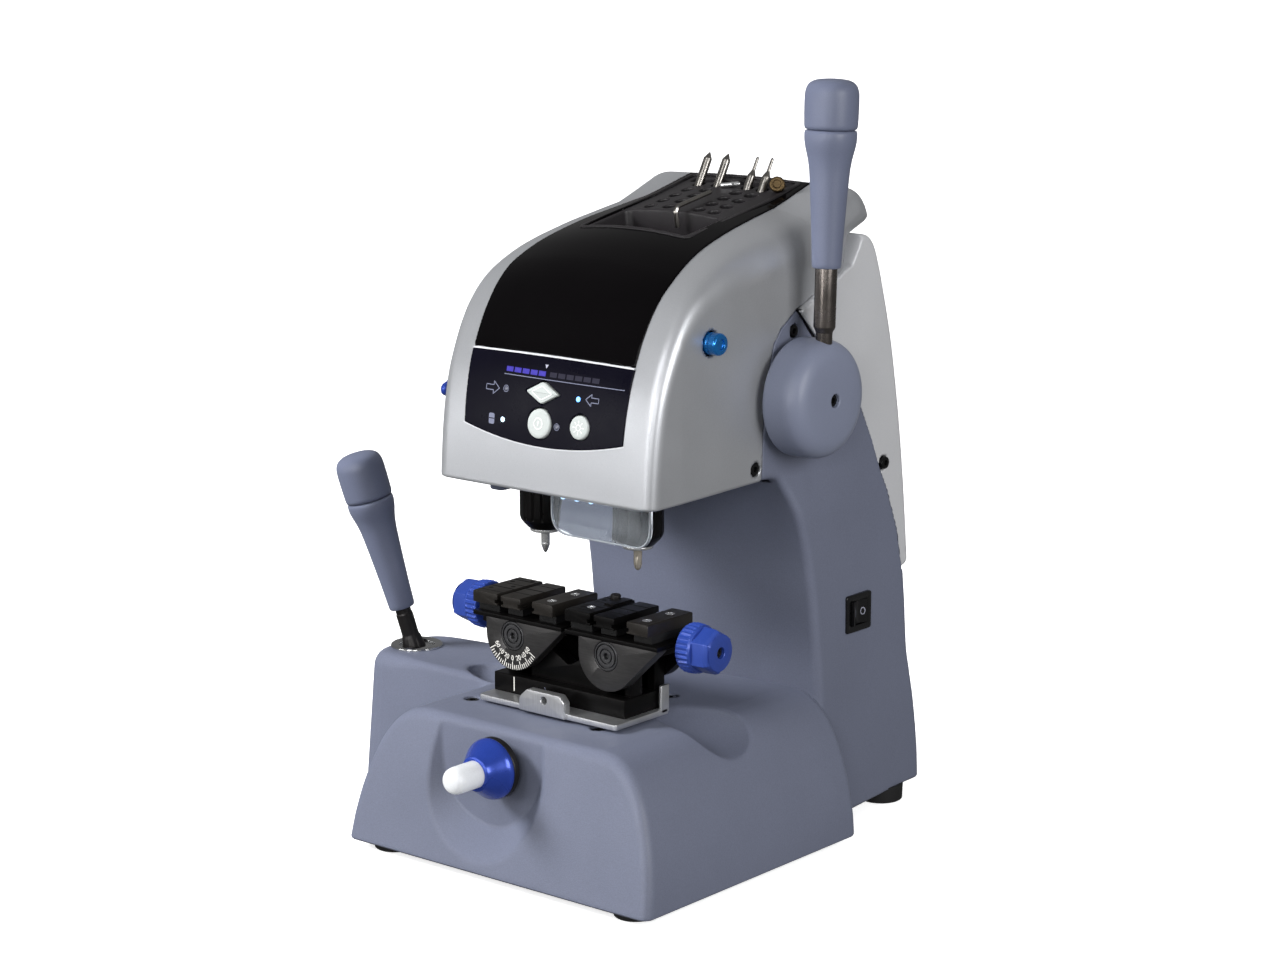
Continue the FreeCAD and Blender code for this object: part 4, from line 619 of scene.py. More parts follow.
# ---------------------------------------------------------------- rear cover
_rc = spline([(172, 150), (169.4, 176), (164.4, 221), (159.4, 258), (153.2, 295), (144, 339), (132.4, 379), (125.4, 399), (120.4, 409.5), (114.0, 415.4), (105.0, 417.2)], 3.0)
F_REAR = field(np.concatenate([_rc, [(92, 416.8), (-60, 415), (-60, 150)]]))
F_REAR_SEAM = field(np.array([(156.9, 171.9), (166, 176.2), (190, 188), (190, 460), (104.9, 460), (104.9, 415.0), (93.4, 397.2), (33.6, 372.2), (44.1, 360.9), (104.2, 299.2), (119.2, 272.2), (130.1, 248.1), (138.1, 233.1), (151.1, 201.5)]))


def rear_outer(x, y, z):
    w = 99.0 - 0.022 * np.maximum(y - 40.0, 0)
    return smax(F_REAR(y, z), np.abs(x) - w, 6.0)


def rear_shell(x, y, z):
    o = rear_outer(x, y, z)
    d = smax(o, F_REAR_SEAM(y, z) - 0.4, 0.7)
    d = np.maximum(d, -np.maximum(o + 3.0, z - 372.0))
    for s in (1.0, -1.0):
        d = smax(d, -np.maximum(np.hypot(y - 133.7, z - 252.9) - 5.0, 94.6 - s * x), 0.8)
    return d


shell("rear_body", rear_shell, (-103, 26, 166), (103, 172, 422), 2.0, M["rear"], node="rear_cover", slot="rear_grey")

# ---------------------------------------------------------------- head cover
_top = spline([(-122.4, 240), (-121.4, 262), (-119.9, 288), (-117.6, 312), (-114.6, 330), (-110.6, 346), (-104.4, 362), (-97.6, 376), (-88.4, 390), (-78.5, 401), (-65, 410.6), (-40, 421.4), (-5, 430.4), (28, 436.2), (67, 442.6), (95, 448.2)], 3.0)
_lip = spline([(95, 448.2), (106, 449.9), (114, 447.0), (120.6, 439.6), (125.0, 431.0), (125.4, 425.5), (120.5, 420.4)], 2.0)
F_HEAD = field(np.concatenate([_top, _lip[1:], [(100, 417), (60, 240)]]))
F_HEAD_SEAM = field(np.array([(-4.6, 200), (-4.6, 263), (-3.7, 283), (-1.9, 310), (2.2, 333), (7.5, 352.6), (15.4, 362.4), (31.8, 373.0), (92.6, 398.2), (103.6, 416.2), (120, 421.0), (140, 424), (140, 480), (-160, 480), (-160, 200)]))


def head_outer(x, y, z):
    crown = 12.0 * np.clip((118.0 - y) / 60.0, 0, 1)
    zz = z + crown * (x / 90.0) ** 2
    w = 95.2 - 0.9 * np.clip((-90.0 - y) / 30.0, 0, 1) - 0.02 * np.maximum(y - 60.0, 0)
    return smax(F_HEAD(y, zz), np.abs(x) - w, 10.0 + 10.0 * np.clip((y + 90.0) / 80.0, 0, 1))


SLOPE = 1.0 / 6.0
TRAY_M = np.array(Matrix.Translation((0, 37.0, 436.6)) @ Matrix.Rotation(math.atan(0.187), 4, "X"))
TRAY_I = np.linalg.inv(TRAY_M)


def tray_xyz(x, y, z):
    return [TRAY_I[i, 0] * x + TRAY_I[i, 1] * y + TRAY_I[i, 2] * z + TRAY_I[i, 3] for i in range(3)]


def key_wells(x, y, z):
    """The three key openings, as one field in the panel plane."""
    a = np.hypot(x + 1.7, (z - 306.0)) - 10.45
    b = np.hypot(x - 32.9, (z - 307.4)) - 8.45
    c = (np.abs(x + 1.0) / 15.2 + np.abs(z - 326.2) / 8.2 - 1.0) * 7.2
    return np.maximum(np.minimum(np.minimum(a, b), c), y + 98.0)


def head_shell(x, y, z):
    o = head_outer(x, y, z)
    d = smax(smax(o, F_HEAD_SEAM(y, z) - 0.3, 0.7), 262.0 - 3.2 * np.clip((30.0 - y) / 150.0, 0, 1) - z, 2.0)
    d = np.maximum(d, -(o + 3.4))
    tx, ty, tz = tray_xyz(x, y, z)
    d = np.maximum(d, -np.maximum(np.maximum(np.abs(tx) - 45.0, np.abs(ty) - 62.0), -40.0 - tz))
    d = smax(d, -np.maximum(np.hypot(y + 60.0, z - 362.0) - 8.5, 60.0 - x), 0.7)
    d = np.maximum(d, -key_wells(x, y, z))
    for s in (1.0, -1.0):
        d = smax(d, -np.maximum(np.hypot(y + 11.1, z - 270.4) - 5.0, 92.2 - s * x), 0.8)
    return d


shell("head_body", head_shell, (-99, -126, 255), (99, 129, 455), 1.8, M["silver"], node="head_cover", slot="cover_silver")


def panel_width(y):
    return np.interp(y, [-130, -70, -28, 30, 104], [70.5, 70.5, 64.5, 58.5, 53.0])


def top_film(x, y, z):
    o = head_outer(x, y, z)
    d = np.maximum(o - 0.8, -(o + 2.7))
    d = smax(d, np.abs(x) - panel_width(y), 0.6)
    d = smax(d, 349.2 + 1.2 * (1.0 - (x / 70.0) ** 2) - z, 0.6)
    d = smax(d, y - 103.0, 0.6)
    tx, ty, tz = tray_xyz(x, y, z)
    return smax(d, -np.maximum(np.maximum(np.abs(tx) - 45.0, np.abs(ty) - 62.0), -40.0 - tz), 0.5)


shell("top_film", top_film, (-74, -116, 343), (74, 108, 456), 1.25, M["gloss"], node="top_panel", slot="gloss_black")
LEDS = [(-33.7, 325.4, "led_off"), (29.5, 325.3, "led_blue"), (-34.4, 304.8, "led_white"), (13.4, 305.4, "led_off")]


def control_film(x, y, z):
    o = head_outer(x, y, z)
    d = np.maximum(o - 0.8, -(o + 1.7))
    d = smax(d, np.abs(x) - (70.0 + 0.03 * (z - 320.0)), 0.6)
    d = smax(d, z - (348.0 + 1.2 * (1.0 - (x / 70.0) ** 2)), 0.5)
    d = smax(d, 290.4 + 9.0 * (x / 70.0) ** 2 - z, 0.6)
    d = smax(d, y + 96.0, 0.5)
    return smax(d, -key_wells(x, y, z), 0.5)


shell("control_film", control_film, (-73, -124, 286), (73, -104, 353), 0.9, M["navy"], node="control_panel", slot="panel_navy")


def on_head(pts, lift):
    """Points (x, z) laid onto the front of the head, lifted off it."""
    p = np.asarray(pts, float)
    y = -118.5 + (p[:, 1] - 300.0) * SLOPE
    for _ in range(8):
        f0 = head_outer(p[:, 0], y, p[:, 1]) - lift
        g = (head_outer(p[:, 0], y + 0.1, p[:, 1]) - head_outer(p[:, 0], y - 0.1, p[:, 1])) / 0.2
        y = y - f0 / np.minimum(g, -0.3)
    return np.column_stack([p[:, 0], y, p[:, 1]])


def decal(name, outline, mat, lift=0.95, place_fn=None, body="machine", slot="panel_navy"):
    """Thin printed patch."""
    v = (place_fn or on_head)(outline, lift)
    n = len(v)
    return make(name, v, [tuple(range(n))], mat, body, slot=slot)


def ribbon(name, pts, width, mat, lift=0.95, closed=False, place_fn=None, body="machine", slot="panel_navy"):
    """Thin printed line of one width."""
    p = np.asarray(pts, float)
    if closed:
        d = np.roll(p, -1, 0) - np.roll(p, 1, 0)
    else:
        d = np.gradient(p, axis=0)
    d /= np.maximum(np.linalg.norm(d, axis=1, keepdims=True), 1e-9)
    nrm = np.stack([-d[:, 1], d[:, 0]], 1) * width / 2
    a, b = (place_fn or on_head)(p + nrm, lift), (place_fn or on_head)(p - nrm, lift)
    n = len(p)
    v = np.concatenate([a, b])
    f = [(i, (i + 1) % n, n + (i + 1) % n, n + i) for i in range(n if closed else n - 1)]
    return make(name, v, f, mat, body, slot=slot)


def dense(pts, closed=False, step=0.8):
    p = [np.array(q, float) for q in pts]
    if closed:
        p.append(p[0])
    out = []
    for a, b in zip(p[:-1], p[1:]):
        m = max(1, int(np.linalg.norm(b - a) / step))
        out += [a + (b - a) * i / m for i in range(m)]
    if not closed:
        out.append(p[-1])
    return np.array(out)


def disc_pts(cx, cz, r, n=28):
    return [(cx + r * math.cos(TAU * i / n), cz + r * math.sin(TAU * i / n)) for i in range(n)]


xs = np.linspace(-70.4, 70.4, 57)
ribbon("panel_seam_line", np.column_stack([xs, 348.7 + 1.2 * (1.0 - (xs / 70.0) ** 2)]), 1.1, M["lip"], 0.98, slot="cover_silver")
ribbon("panel_lower_line", np.column_stack([xs, 290.0 + 9.0 * (xs / 70.0) ** 2]), 0.9, M["lip"], 0.4, slot="cover_silver")
arrow = np.array([(-6.2, -1.7), (0.4, -1.7), (0.4, -4.2), (5.6, 0.0), (0.4, 4.2), (0.4, 1.7), (-6.2, 1.7)])
ribbon("arrow_right_mark", dense(arrow + [-45.3, 324.9], True), 0.55, M["ink_dim"], closed=True)
ribbon("arrow_left_mark", dense(arrow * [-1, 1] * 0.92 + [41.0, 325.9], True), 0.55, M["ink_dim"], closed=True)
for i in range(5):
    x0 = -35.5 + 7.2 * i
    decal("gauge_bar_%d" % i, [(x0, 336.8), (x0 + 6.0, 336.8), (x0 + 6.0, 340.0), (x0, 340.0)], M["bar"])
for i in range(6):
    x0 = 3.0 + 7.2 * i
    decal("gauge_blank_%d" % i, [(x0, 336.8), (x0 + 6.0, 336.8), (x0 + 6.0, 340.0), (x0, 340.0)], M["bar_off"])
decal("gauge_pointer", [(-2.3, 344.4), (-0.8, 341.8), (0.7, 344.4)], M["ink"])
xs = np.linspace(-36.8, 66.3, 40)
ribbon("gauge_line", np.column_stack([xs, np.full(40, 334.9)]), 0.5, M["ink_dim"])
decal("plug_icon", rounded_loop([(-46.8, 300.8), (-41.8, 300.8), (-41.8, 308.0), (-46.8, 308.0)], 1.4, 4), M["ink_dim"])
ribbon("plug_icon_band", dense([(-46.6, 304.6), (-42.0, 304.6)]), 0.6, M["navy"], 1.0)
for i, (lx, lz, lm) in enumerate(LEDS):
    base_pt = on_head([(lx, lz)], 0.75)[0]
    turned("panel_lamp_%d" % i, [(0.001, 0.55), (1.0, 0.45), (1.75, 0.1), (1.75, -0.2)][::-1], base_pt, (0, -0.986, 0.164), M[lm], "machine", n=28, r=0.2,
           slot="lens", **({"node": "led_lenses"} if i == 0 else {}))
    if lm == "led_off":
        ribbon("panel_lamp_rim_%d" % i, disc_pts(lx, lz, 2.2), 0.35, M["ink_dim"], closed=True)
for i, x in enumerate((2.0, 14.0, 26.0)):
    turned("work_lamp_%d" % i, [(2.2, 262.2), (2.2, 253.4), (1.6, 252.2), (0.001, 251.8)], (x, -98.0, 0.0), (0, 0, 1), M["lamp"], "machine", n=32, r=0.4, slot="lens")

# keys
KEY_AX = np.array([0.0, -0.98639, 0.16440])


def key_frame(x, z, lift):
    p = on_head([(x, z)], lift)[0]
    return axes(p, (1, 0, 0), (0, 0.16440, 0.98639), KEY_AX), p


for name, x, z, r in (("power_button", -1.7, 305.7, 10.0), ("light_button", 32.9, 307.1, 8.0)):
    m4, p = key_frame(x, z, 0.0)
    prof = rounded([(0.001, 2.0), (r - 2.2, 2.2), (r - 0.4, 1.7), (r, 0.6), (r, -3.0), (0.001, -3.0)], 0.6)
    v, f = lathe(prof, 64)
    make(name + "_cap", put(m4, v), f, M["key"], name + "_key", node=name, slot="key_grey")

    def key_top(pts, lift, m4=m4):
        q = np.asarray(pts, float)
        return put(m4, np.column_stack([q, np.full(len(q), 2.16 + lift)]))

    if name == "power_button":
        ribbon("power_mark_ring", disc_pts(0, 0, 3.6, 40), 0.8, M["mark"], 0.10, True, key_top, name + "_key", "key_grey")
        ribbon("power_mark_bar", [(0, -1.6), (0, -0.5), (0, 0.6), (0, 1.8)], 0.8, M["mark"], 0.12, False, key_top, name + "_key", "key_grey")
    else:
        ribbon("light_mark_ring", disc_pts(0, 0, 1.9, 30), 0.7, M["mark"], 0.10, True, key_top, name + "_key", "key_grey")
        for i in range(8):
            a = TAU * i / 8
            ribbon("light_mark_ray_%d" % i, [(2.9 * math.cos(a), 2.9 * math.sin(a)), (4.8 * math.cos(a), 4.8 * math.sin(a))], 0.7, M["mark"], 0.10, False, key_top, name + "_key", "key_grey")
m4, p = key_frame(-1.0, 325.9, 0.0)
outline = rounded_loop([(-14.3, 0.0), (0.0, -7.5), (14.3, 0.0), (0.0, 7.5)], 2.2, 6)
slab("mode_button_cap", outline, -3.0, 2.2, M["key"], "mode_button_key", m4=m4, edge=0.9, seg=4, node="mode_button", slot="key_grey")
ring = outline * 0.66
v = put(m4, np.column_stack([ring, np.full(len(ring), 2.26)]))
ribbon("mode_mark", outline * 0.62, 0.7, M["mark"], 2.26, True, lambda q, l, m4=m4: put(m4, np.column_stack([np.asarray(q), np.full(len(q), l)])), "mode_button_key", "key_grey")

# ---------------------------------------------------------------- cover screws
def socket_screw(name, at, axis, r=4.4, mat=None, body="machine", slot="screw_black", **k):
    """Socket head with a six-sided recess."""
    n = 48
    ang = np.arange(n) * TAU / n
    hexr = 1.9 / np.cos((ang + math.pi / 6) % (math.pi / 3) - math.pi / 6)
    circ = np.stack([np.cos(ang), np.sin(ang)], 1)
    loops = [np.column_stack([circ * r, np.full(n, -1.0)]), np.column_stack([circ * r, np.full(n, 2.0)]), np.column_stack([circ * (r - 0.25), np.full(n, 2.5)]),
             np.column_stack([circ * (r - 0.7), np.full(n, 2.7)]), np.column_stack([circ * hexr[:, None] * 1.06, np.full(n, 2.7)]),
             np.column_stack([circ * hexr[:, None], np.full(n, 2.5)]), np.column_stack([circ * hexr[:, None], np.full(n, 0.6)])]
    v, f = loft_loops(loops)
    return make(name, put(frame_to(at, axis), v), f, mat or M["screw"], body, sharp=32, slot=slot, **k)


first = True
for i, (x, y, z) in enumerate([(96.4, 133.7, 252.9), (92.4, 30.0, 359.0), (92.0, -11.1, 270.4)]):
    for s in (1, -1):
        socket_screw("cover_screw_%d_%s" % (i, "right" if s > 0 else "left"), (s * x, y, z), (s, 0, 0), **({"node": "cover_screws"} if first else {}))
        first = False

# ---------------------------------------------------------------- tool tray
HX, HY = (-27.0, -10.5, 15.8, 28.6), (-10.4, 3.4, 17.2, 31.0, 44.0)
SOCKETS = [(hx, hy) for hx in HX for hy in HY]


def tray_local(x, y, z):
    top = z + 12.0 * (x / 90.0) ** 2 * np.clip((81.0 - 0.983 * y) / 60.0, 0, 1)
    rim = np.maximum(rbox2(x, y, 0, 0, 48.6, 65.6, 6.0), np.maximum(-1.6 - top, top - 2.5))
    well = np.maximum(rbox2(x, y, 0, 0, 44.6, 61.6, 5.0), np.maximum(-24.0 - z, top - 1.4))
    d = smin(rim, well, 0.6)
    d = smax(d, -np.maximum(rbox2(x, y, 0, 0.0, 45.6, 62.6, 4.0), 0.9 - top), 0.8)
    d = smax(d, -np.maximum(rbox2(x, y, 0, -39.5, 41.5 - 0.06 * np.clip(1.2 - z, 0, 30), 21.2 - 0.12 * np.clip(1.2 - z, 0, 30), 5.0), -20.5 - z), 1.4)
    d = smax(d, -np.maximum(rbox2(x, y, 0, 54.0, 40.0, 4.5, 2.0), -14.0 - z), 1.0)
    holes = np.full_like(x, 1e9)
    for hx, hy in SOCKETS:
        holes = np.minimum(holes, np.hypot(x - hx, y - hy))
    return smax(d, -np.maximum(holes - 4.6, -14.0 - z), 0.8)


v, q, nrm = skin(tray_local, (-52, -69, -26), (52, 69, 6), 1.0)
make("tray_moulding", put(TRAY_M, v), q, M["tray"], "machine", node="tool_tray", slot="tray_black", normals=nrm @ TRAY_M[:3, :3].T)

lean = np.array([0.085, 0.40, 0.91])
lean /= np.linalg.norm(lean)
first = True
for i, (tx, ty) in enumerate([(-27.0, 44.0), (-10.5, 44.0), (15.8, 44.0), (28.6, 44.0)]):
    foot = put(TRAY_M, [(tx, ty, 0.4)])[0]
    if i < 2:
        prof = [(0.001, -9.0), (2.6, -9.0), (3.0, -8.4), (3.0, 19.0), (2.6, 19.6), (0.35, 23.6), (0.001, 23.8)]
    else:
        prof = [(0.001, -9.0), (2.6, -9.0), (2.9, -8.4), (2.9, 9.0), (1.2, 13.0), (1.05, 22.0), (0.6, 23.0), (0.001, 23.2)]
    turned("spare_tool_%d" % i, prof, foot, lean if i < 2 else lean, M["steel"], "machine", n=40, r=0.25, slot="tool_steel", **({"node": "spare_tools"} if first else {}))
    first = False
hexa = [(1.6 * math.cos(TAU * k / 6), 1.6 * math.sin(TAU * k / 6)) for k in range(6)]


def sweep_hex(path):
    loops = []
    p = np.asarray(path, float)
    t = np.gradient(p, axis=0)
    t /= np.linalg.norm(t, axis=1, keepdims=True)
    side = np.array([1.0, 0, 0])
    for a, d in zip(p, t):
        u = np.cross(d, side)
        u /= np.linalg.norm(u)
        loops.append([a + side * hx + u * hz for hx, hz in hexa])
    return loft_loops(loops)


bend = [(6.6, -24.5, -9.0), (6.6, -24.5, 1.0)] + [(6.6, -24.5 + 4.2 * (1 - math.cos(a)), 1.0 + 4.2 * math.sin(a)) for a in np.linspace(0.15, math.pi / 2, 8)] + [(6.6, -10.0, 5.2), (6.6, 14.5, 5.2)]
v, f = sweep_hex(bend)
make("hex_wrench", put(TRAY_M, v), f, M["steel"], "machine", sharp=25, slot="tool_steel")
knurl_at = put(TRAY_M, [(42.4, 44.0, 4.8)])[0]
turned("loose_bush", [(1.8, -4.0), (4.6, -4.0), (5.4, -3.4), (5.4, 3.4), (4.6, 4.0), (3.0, 4.0), (2.6, 3.2), (1.8, 3.2)], knurl_at, (0.5, -0.8, 0.25), M["brown"], "machine", n=120,
       shape=lambda a, r, z: r - (0.4 if r > 5.2 and int(a / TAU * 60) % 2 else 0.0), r=0.3, slot="tool_steel")
for i, (bx, by) in enumerate([(2.0, 40.0), (6.0, 43.0)]):
    turned("loose_bit_%d" % i, [(0.001, -5.0), (1.5, -5.0), (1.5, 3.0), (0.9, 4.6), (0.001, 5.0)], put(TRAY_M, [(bx, by, 3.0)])[0], (0.9, 0.4 - 0.5 * i, 0.1), M["bright"], "machine", n=24, r=0.2, slot="tool_steel")

# ---------------------------------------------------------------- feed lever
LEAN = np.array(Matrix.Rotation(math.radians(-2.0), 3, "X") @ Vector((0, 0, 1)))
LX, HUBY, HUBZ = 121.0, 27.0, 316.0
hub_prof = rounded([(10.0, 0.0), (37.8, 0.0), (39.8, 0.8), (40.4, 2.6), (40.5, 18.0), (39.4, 23.4), (36.0, 27.8), (30.4, 30.6), (22.0, 31.6), (5.4, 32.0), (4.6, 31.4), (4.6, 26.0), (0.001, 26.0)], [0, 0.4, 0.8, 1.0, 4.0, 3.0, 4.0, 4.0, 4.0, 0.4, 0.4, 0.3, 0])
v, f = lathe(hub_prof, 144)
make("lever_hub_body", put(frame_to((100.5, HUBY, HUBZ), (1, 0, 0)), v), f, M["hub"], "feed_lever", node="lever_hub", slot="housing_grey", sharp=50)
socket_screw("lever_hub_screw", (100.5 + 27.2, HUBY, HUBZ), (1, 0, 0), 4.3, body="feed_lever")
rod_at = (LX, HUBY, HUBZ)
turned("lever_rod_body", [(0.001, 30.0), (5.6, 30.0), (5.6, 45.0), (7.4, 48.6), (7.4, 96.0), (0.001, 96.0)], rod_at, LEAN, M["gun"], "feed_lever", n=72, r=0.4, node="lever_rod", slot="gunmetal")
grip = np.concatenate([rounded([(7.6, 88.0), (9.3, 88.0), (9.9, 90.0)], 0.8), spline([(9.9, 90.0), (10.5, 104), (11.5, 122), (12.6, 140), (13.6, 153), (14.9, 161), (16.5, 167.5), (17.4, 173.0), (17.45, 177.0)], 1.5)[1:], [(17.1, 178.6), (15.6, 179.2), (0.001, 179.2)]])
v, f = lathe(grip, 112)
make("lever_grip_body", put(frame_to(rod_at, LEAN), v), f, M["handle"], "feed_lever", node="lever_grip", slot="housing_grey", sharp=60)
cap = np.concatenate([[(0.001, 179.4), (15.8, 179.4), (17.2, 180.2), (17.7, 181.8)], spline([(17.7, 181.8), (18.0, 190), (18.0, 200), (17.5, 205.2), (15.6, 209.2), (11.6, 211.6), (6.0, 212.5), (0.001, 212.8)], 1.2)[1:]])
v, f = lathe(cap, 112)
make("lever_cap_body", put(frame_to(rod_at, LEAN), v), f, M["handle"], "feed_lever", node="lever_cap", slot="housing_grey", sharp=60)

# ---------------------------------------------------------------- control stick
S_AT = (-196.5, -36.4, 97.0)
S_AX = (-math.sin(math.radians(15.5)) * 0.77, -math.sin(math.radians(15.5)) * 0.64, math.cos(math.radians(15.5)))
turned("stick_ring_body", [(13.4, 104.0), (12.7, 105.4), (13.2, 106.6), (14.4, 107.1), (17.8, 107.0), (18.9, 106.2), (19.0, 105.0)], (-196.5, -36.4, 0.0), (0, 0, 1), M["chrome"], "machine", n=112, r=0.5, node="stick_ring", slot="chrome")
turned("stick_ring_cup", [(16.2, 84.0), (17.9, 84.0), (17.9, 105.4), (16.2, 105.4), (16.2, 84.0)], (-196.5, -36.4, 0.0), (0, 0, 1), M["socket"], "machine", n=72, r=0, slot="black_oxide")
turned("stick_rod_upper", [(0.001, 4.0), (8.6, 4.0), (8.2, 9.0), (7.0, 15.0), (6.2, 17.0), (6.2, 33.0), (5.7, 34.0), (5.7, 44.0), (0.001, 44.0)], S_AT, S_AX, M["socket"], "stick", n=72, r=0.6, node="stick_rod", slot="gunmetal")
turned("stick_ball_body", [(0.001, -8.2), (3.1, -7.6), (5.8, -5.8), (7.6, -3.1), (8.2, 0.0), (7.6, 3.1), (5.8, 5.8), (3.1, 7.6), (0.001, 8.2)], S_AT, (0, 0, 1), M["socket"], "stick", n=48, r=0, slot="gunmetal")
turned("stick_rod_lower", [(0.001, -78.0), (3.6, -76.6), (5.6, -74.0), (6.0, -72.0), (5.6, -69.4), (4.0, -67.0), (4.0, -6.0), (0.001, -6.0)], S_AT, (0, 0, 1), M["steel"], "stick", n=48, r=0.3, slot="gunmetal")
turned("stick_cross_pin", [(0.001, -15.0), (1.5, -15.0), (1.5, 15.0), (0.001, 15.0)], S_AT, (0, 1, 0), M["steel"], "stick", n=24, r=0.2, slot="gunmetal")
grip = np.concatenate([rounded([(5.8, 38.0), (8.9, 38.0), (9.5, 40.0)], 0.8), spline([(9.5, 40.0), (10.0, 52), (11.0, 70), (12.2, 88), (13.3, 100), (14.6, 107), (16.1, 112.6), (16.9, 117.0), (16.95, 120.0)], 1.5)[1:], [(16.6, 121.4), (15.2, 121.9), (0.001, 121.9)]])
v, f = lathe(grip, 112)
make("stick_grip_body", put(frame_to(S_AT, S_AX), v), f, M["handle"], "stick", node="stick_grip", slot="housing_grey", sharp=60)
cap = np.concatenate([[(0.001, 122.1), (15.4, 122.1), (16.8, 122.9), (17.2, 124.6)], spline([(17.2, 124.6), (17.4, 134), (17.4, 144), (16.9, 149.2), (15.0, 153.2), (11.2, 155.6), (6.0, 156.7), (0.001, 157.0)], 1.2)[1:]])
v, f = lathe(cap, 112)
make("stick_cap_body", put(frame_to(S_AT, S_AX), v), f, M["handle"], "stick", node="stick_cap", slot="housing_grey", sharp=60)

# ---------------------------------------------------------------- cutter, tracer, shield
def flutes(n, depth, lo, hi):
    def shape(a, r, z):
        if z < lo or z > hi:
            return r
        t = (a * n / TAU) % 1.0
        return r - depth * max(0.0, min(1.0, (0.5 - abs(t - 0.5)) * 7.0 - 2.3)) * min(1.0, (z - lo) / 2.0 + 0.2, (hi - z) / 2.0 + 0.2)
    return shape


for side, x, body, nodes, slot in (("cutter", 41.1, "spindle", "cutter_collet", "black_oxide"), ("tracer", -41.1, "tracer", "tracer_collet", "black_oxide")):
    at = (x, -69.3, 219.5)
    prof = [(3.05, 2.0), (8.0, 2.0), (10.4, 2.0), (12.0, 3.2), (15.4, 6.8), (16.9, 9.0), (17.5, 11.5), (17.5, 14.0), (17.5, 22.0), (17.5, 30.0), (17.5, 31.6), (16.6, 33.2), (10.0, 33.5), (3.05, 33.5)]
    turned(side + "_collet_body", prof, at, (0, 0, 1), M["black"], body, n=288, shape=flutes(16, 0.9, 9.0, 31.8), r=0.5, node=nodes, slot=slot, sharp=45)
    turned(side + "_collet_washer", [(3.05, 0.0), (9.6, 0.0), (10.4, 0.5), (10.4, 2.1), (3.05, 2.1)], at, (0, 0, 1), M["bright"], body, n=72, r=0.3, slot="chrome")
turned("tracer_stem", [(0.001, 252.0), (9.0, 252.0), (9.0, 349.5), (0.001, 349.5)], (-41.1, -69.3, 0.0), (0, 0, 1), M["steel"], "tracer", n=64, r=0.4, slot="black_oxide")
turned("tracer_pin", [(0.001, 204.0), (0.5, 204.1), (1.7, 205.8), (3.0, 209.6), (3.0, 211.0), (2.85, 211.3), (3.0, 211.6), (3.0, 228.0), (0.001, 228.0)], (-41.1, -69.3, 0.0), (0, 0, 1), M["bright"], "tracer", n=56, r=0.2, node="tracer_point", slot="tool_steel")


def cutter_shape(a, r, z):
    if z > 216.5 or r < 0.4:
        return r
    return r * (1.0 - 0.17 * max(0.0, math.cos(3.0 * (a - 0.09 * (z - 204.0)))) ** 2 * min(1.0, (216.5 - z) / 2.5))


turned("cutter_bit", [(0.001, 204.0), (1.2, 204.4), (2.2, 205.8), (2.75, 208.0), (2.9, 210.0), (2.9, 212.0), (2.9, 214.0), (2.95, 216.0), (3.0, 217.5), (3.0, 228.0), (0.001, 228.0)], (41.1, -69.3, 0.0), (0, 0, 1), M["gold"], "spindle", n=96, shape=cutter_shape, r=0.3, node="cutter", slot="cutter_gold")
shield_out = rounded_loop([(-4.0, 262.0), (-4.0, 229.5), (82.0, 229.5), (82.0, 262.0)], [0, 22, 16, 0], 9)
slab("shield_sheet", shield_out, 0.0, 2.8, M["glass"], "machine", m4=along_y(-103.2), edge=0.35, node="clear_shield", slot="shield_clear")
inner = offset_loop(shield_out if ((shield_out[:, 0] * np.roll(shield_out[:, 1], -1)) - (np.roll(shield_out[:, 0], -1) * shield_out[:, 1])).sum() > 0 else shield_out[::-1], 0.7)
path = inner[inner[:, 1] < 261.6]
k0 = int(np.argmax(np.abs(np.diff(np.vstack([path, path[:1]]), axis=0)).sum(1)))
path = np.roll(path, -(k0 + 1), 0)
# thin light ribbons along the shield edges: painted highlight of the lit acrylic edges
ribbon("shield_edge_highlight_front", path, 0.8, M["edge"], 0, False, lambda p, l: np.column_stack([np.asarray(p)[:, 0], np.full(len(p), -106.05), np.asarray(p)[:, 1]]), "machine", "shield_clear")
ribbon("shield_edge_highlight_back", path, 0.6, M["edge"], 0, False, lambda p, l: np.column_stack([np.asarray(p)[:, 0], np.full(len(p), -103.15), np.asarray(p)[:, 1]]), "machine", "shield_clear")
brick("lamp_holder", -79.0, -66.0, -86.0, -60.0, 246.0, 262.0, M["handle"], "machine", edge=1.6, corner=5.0, slot="housing_grey")


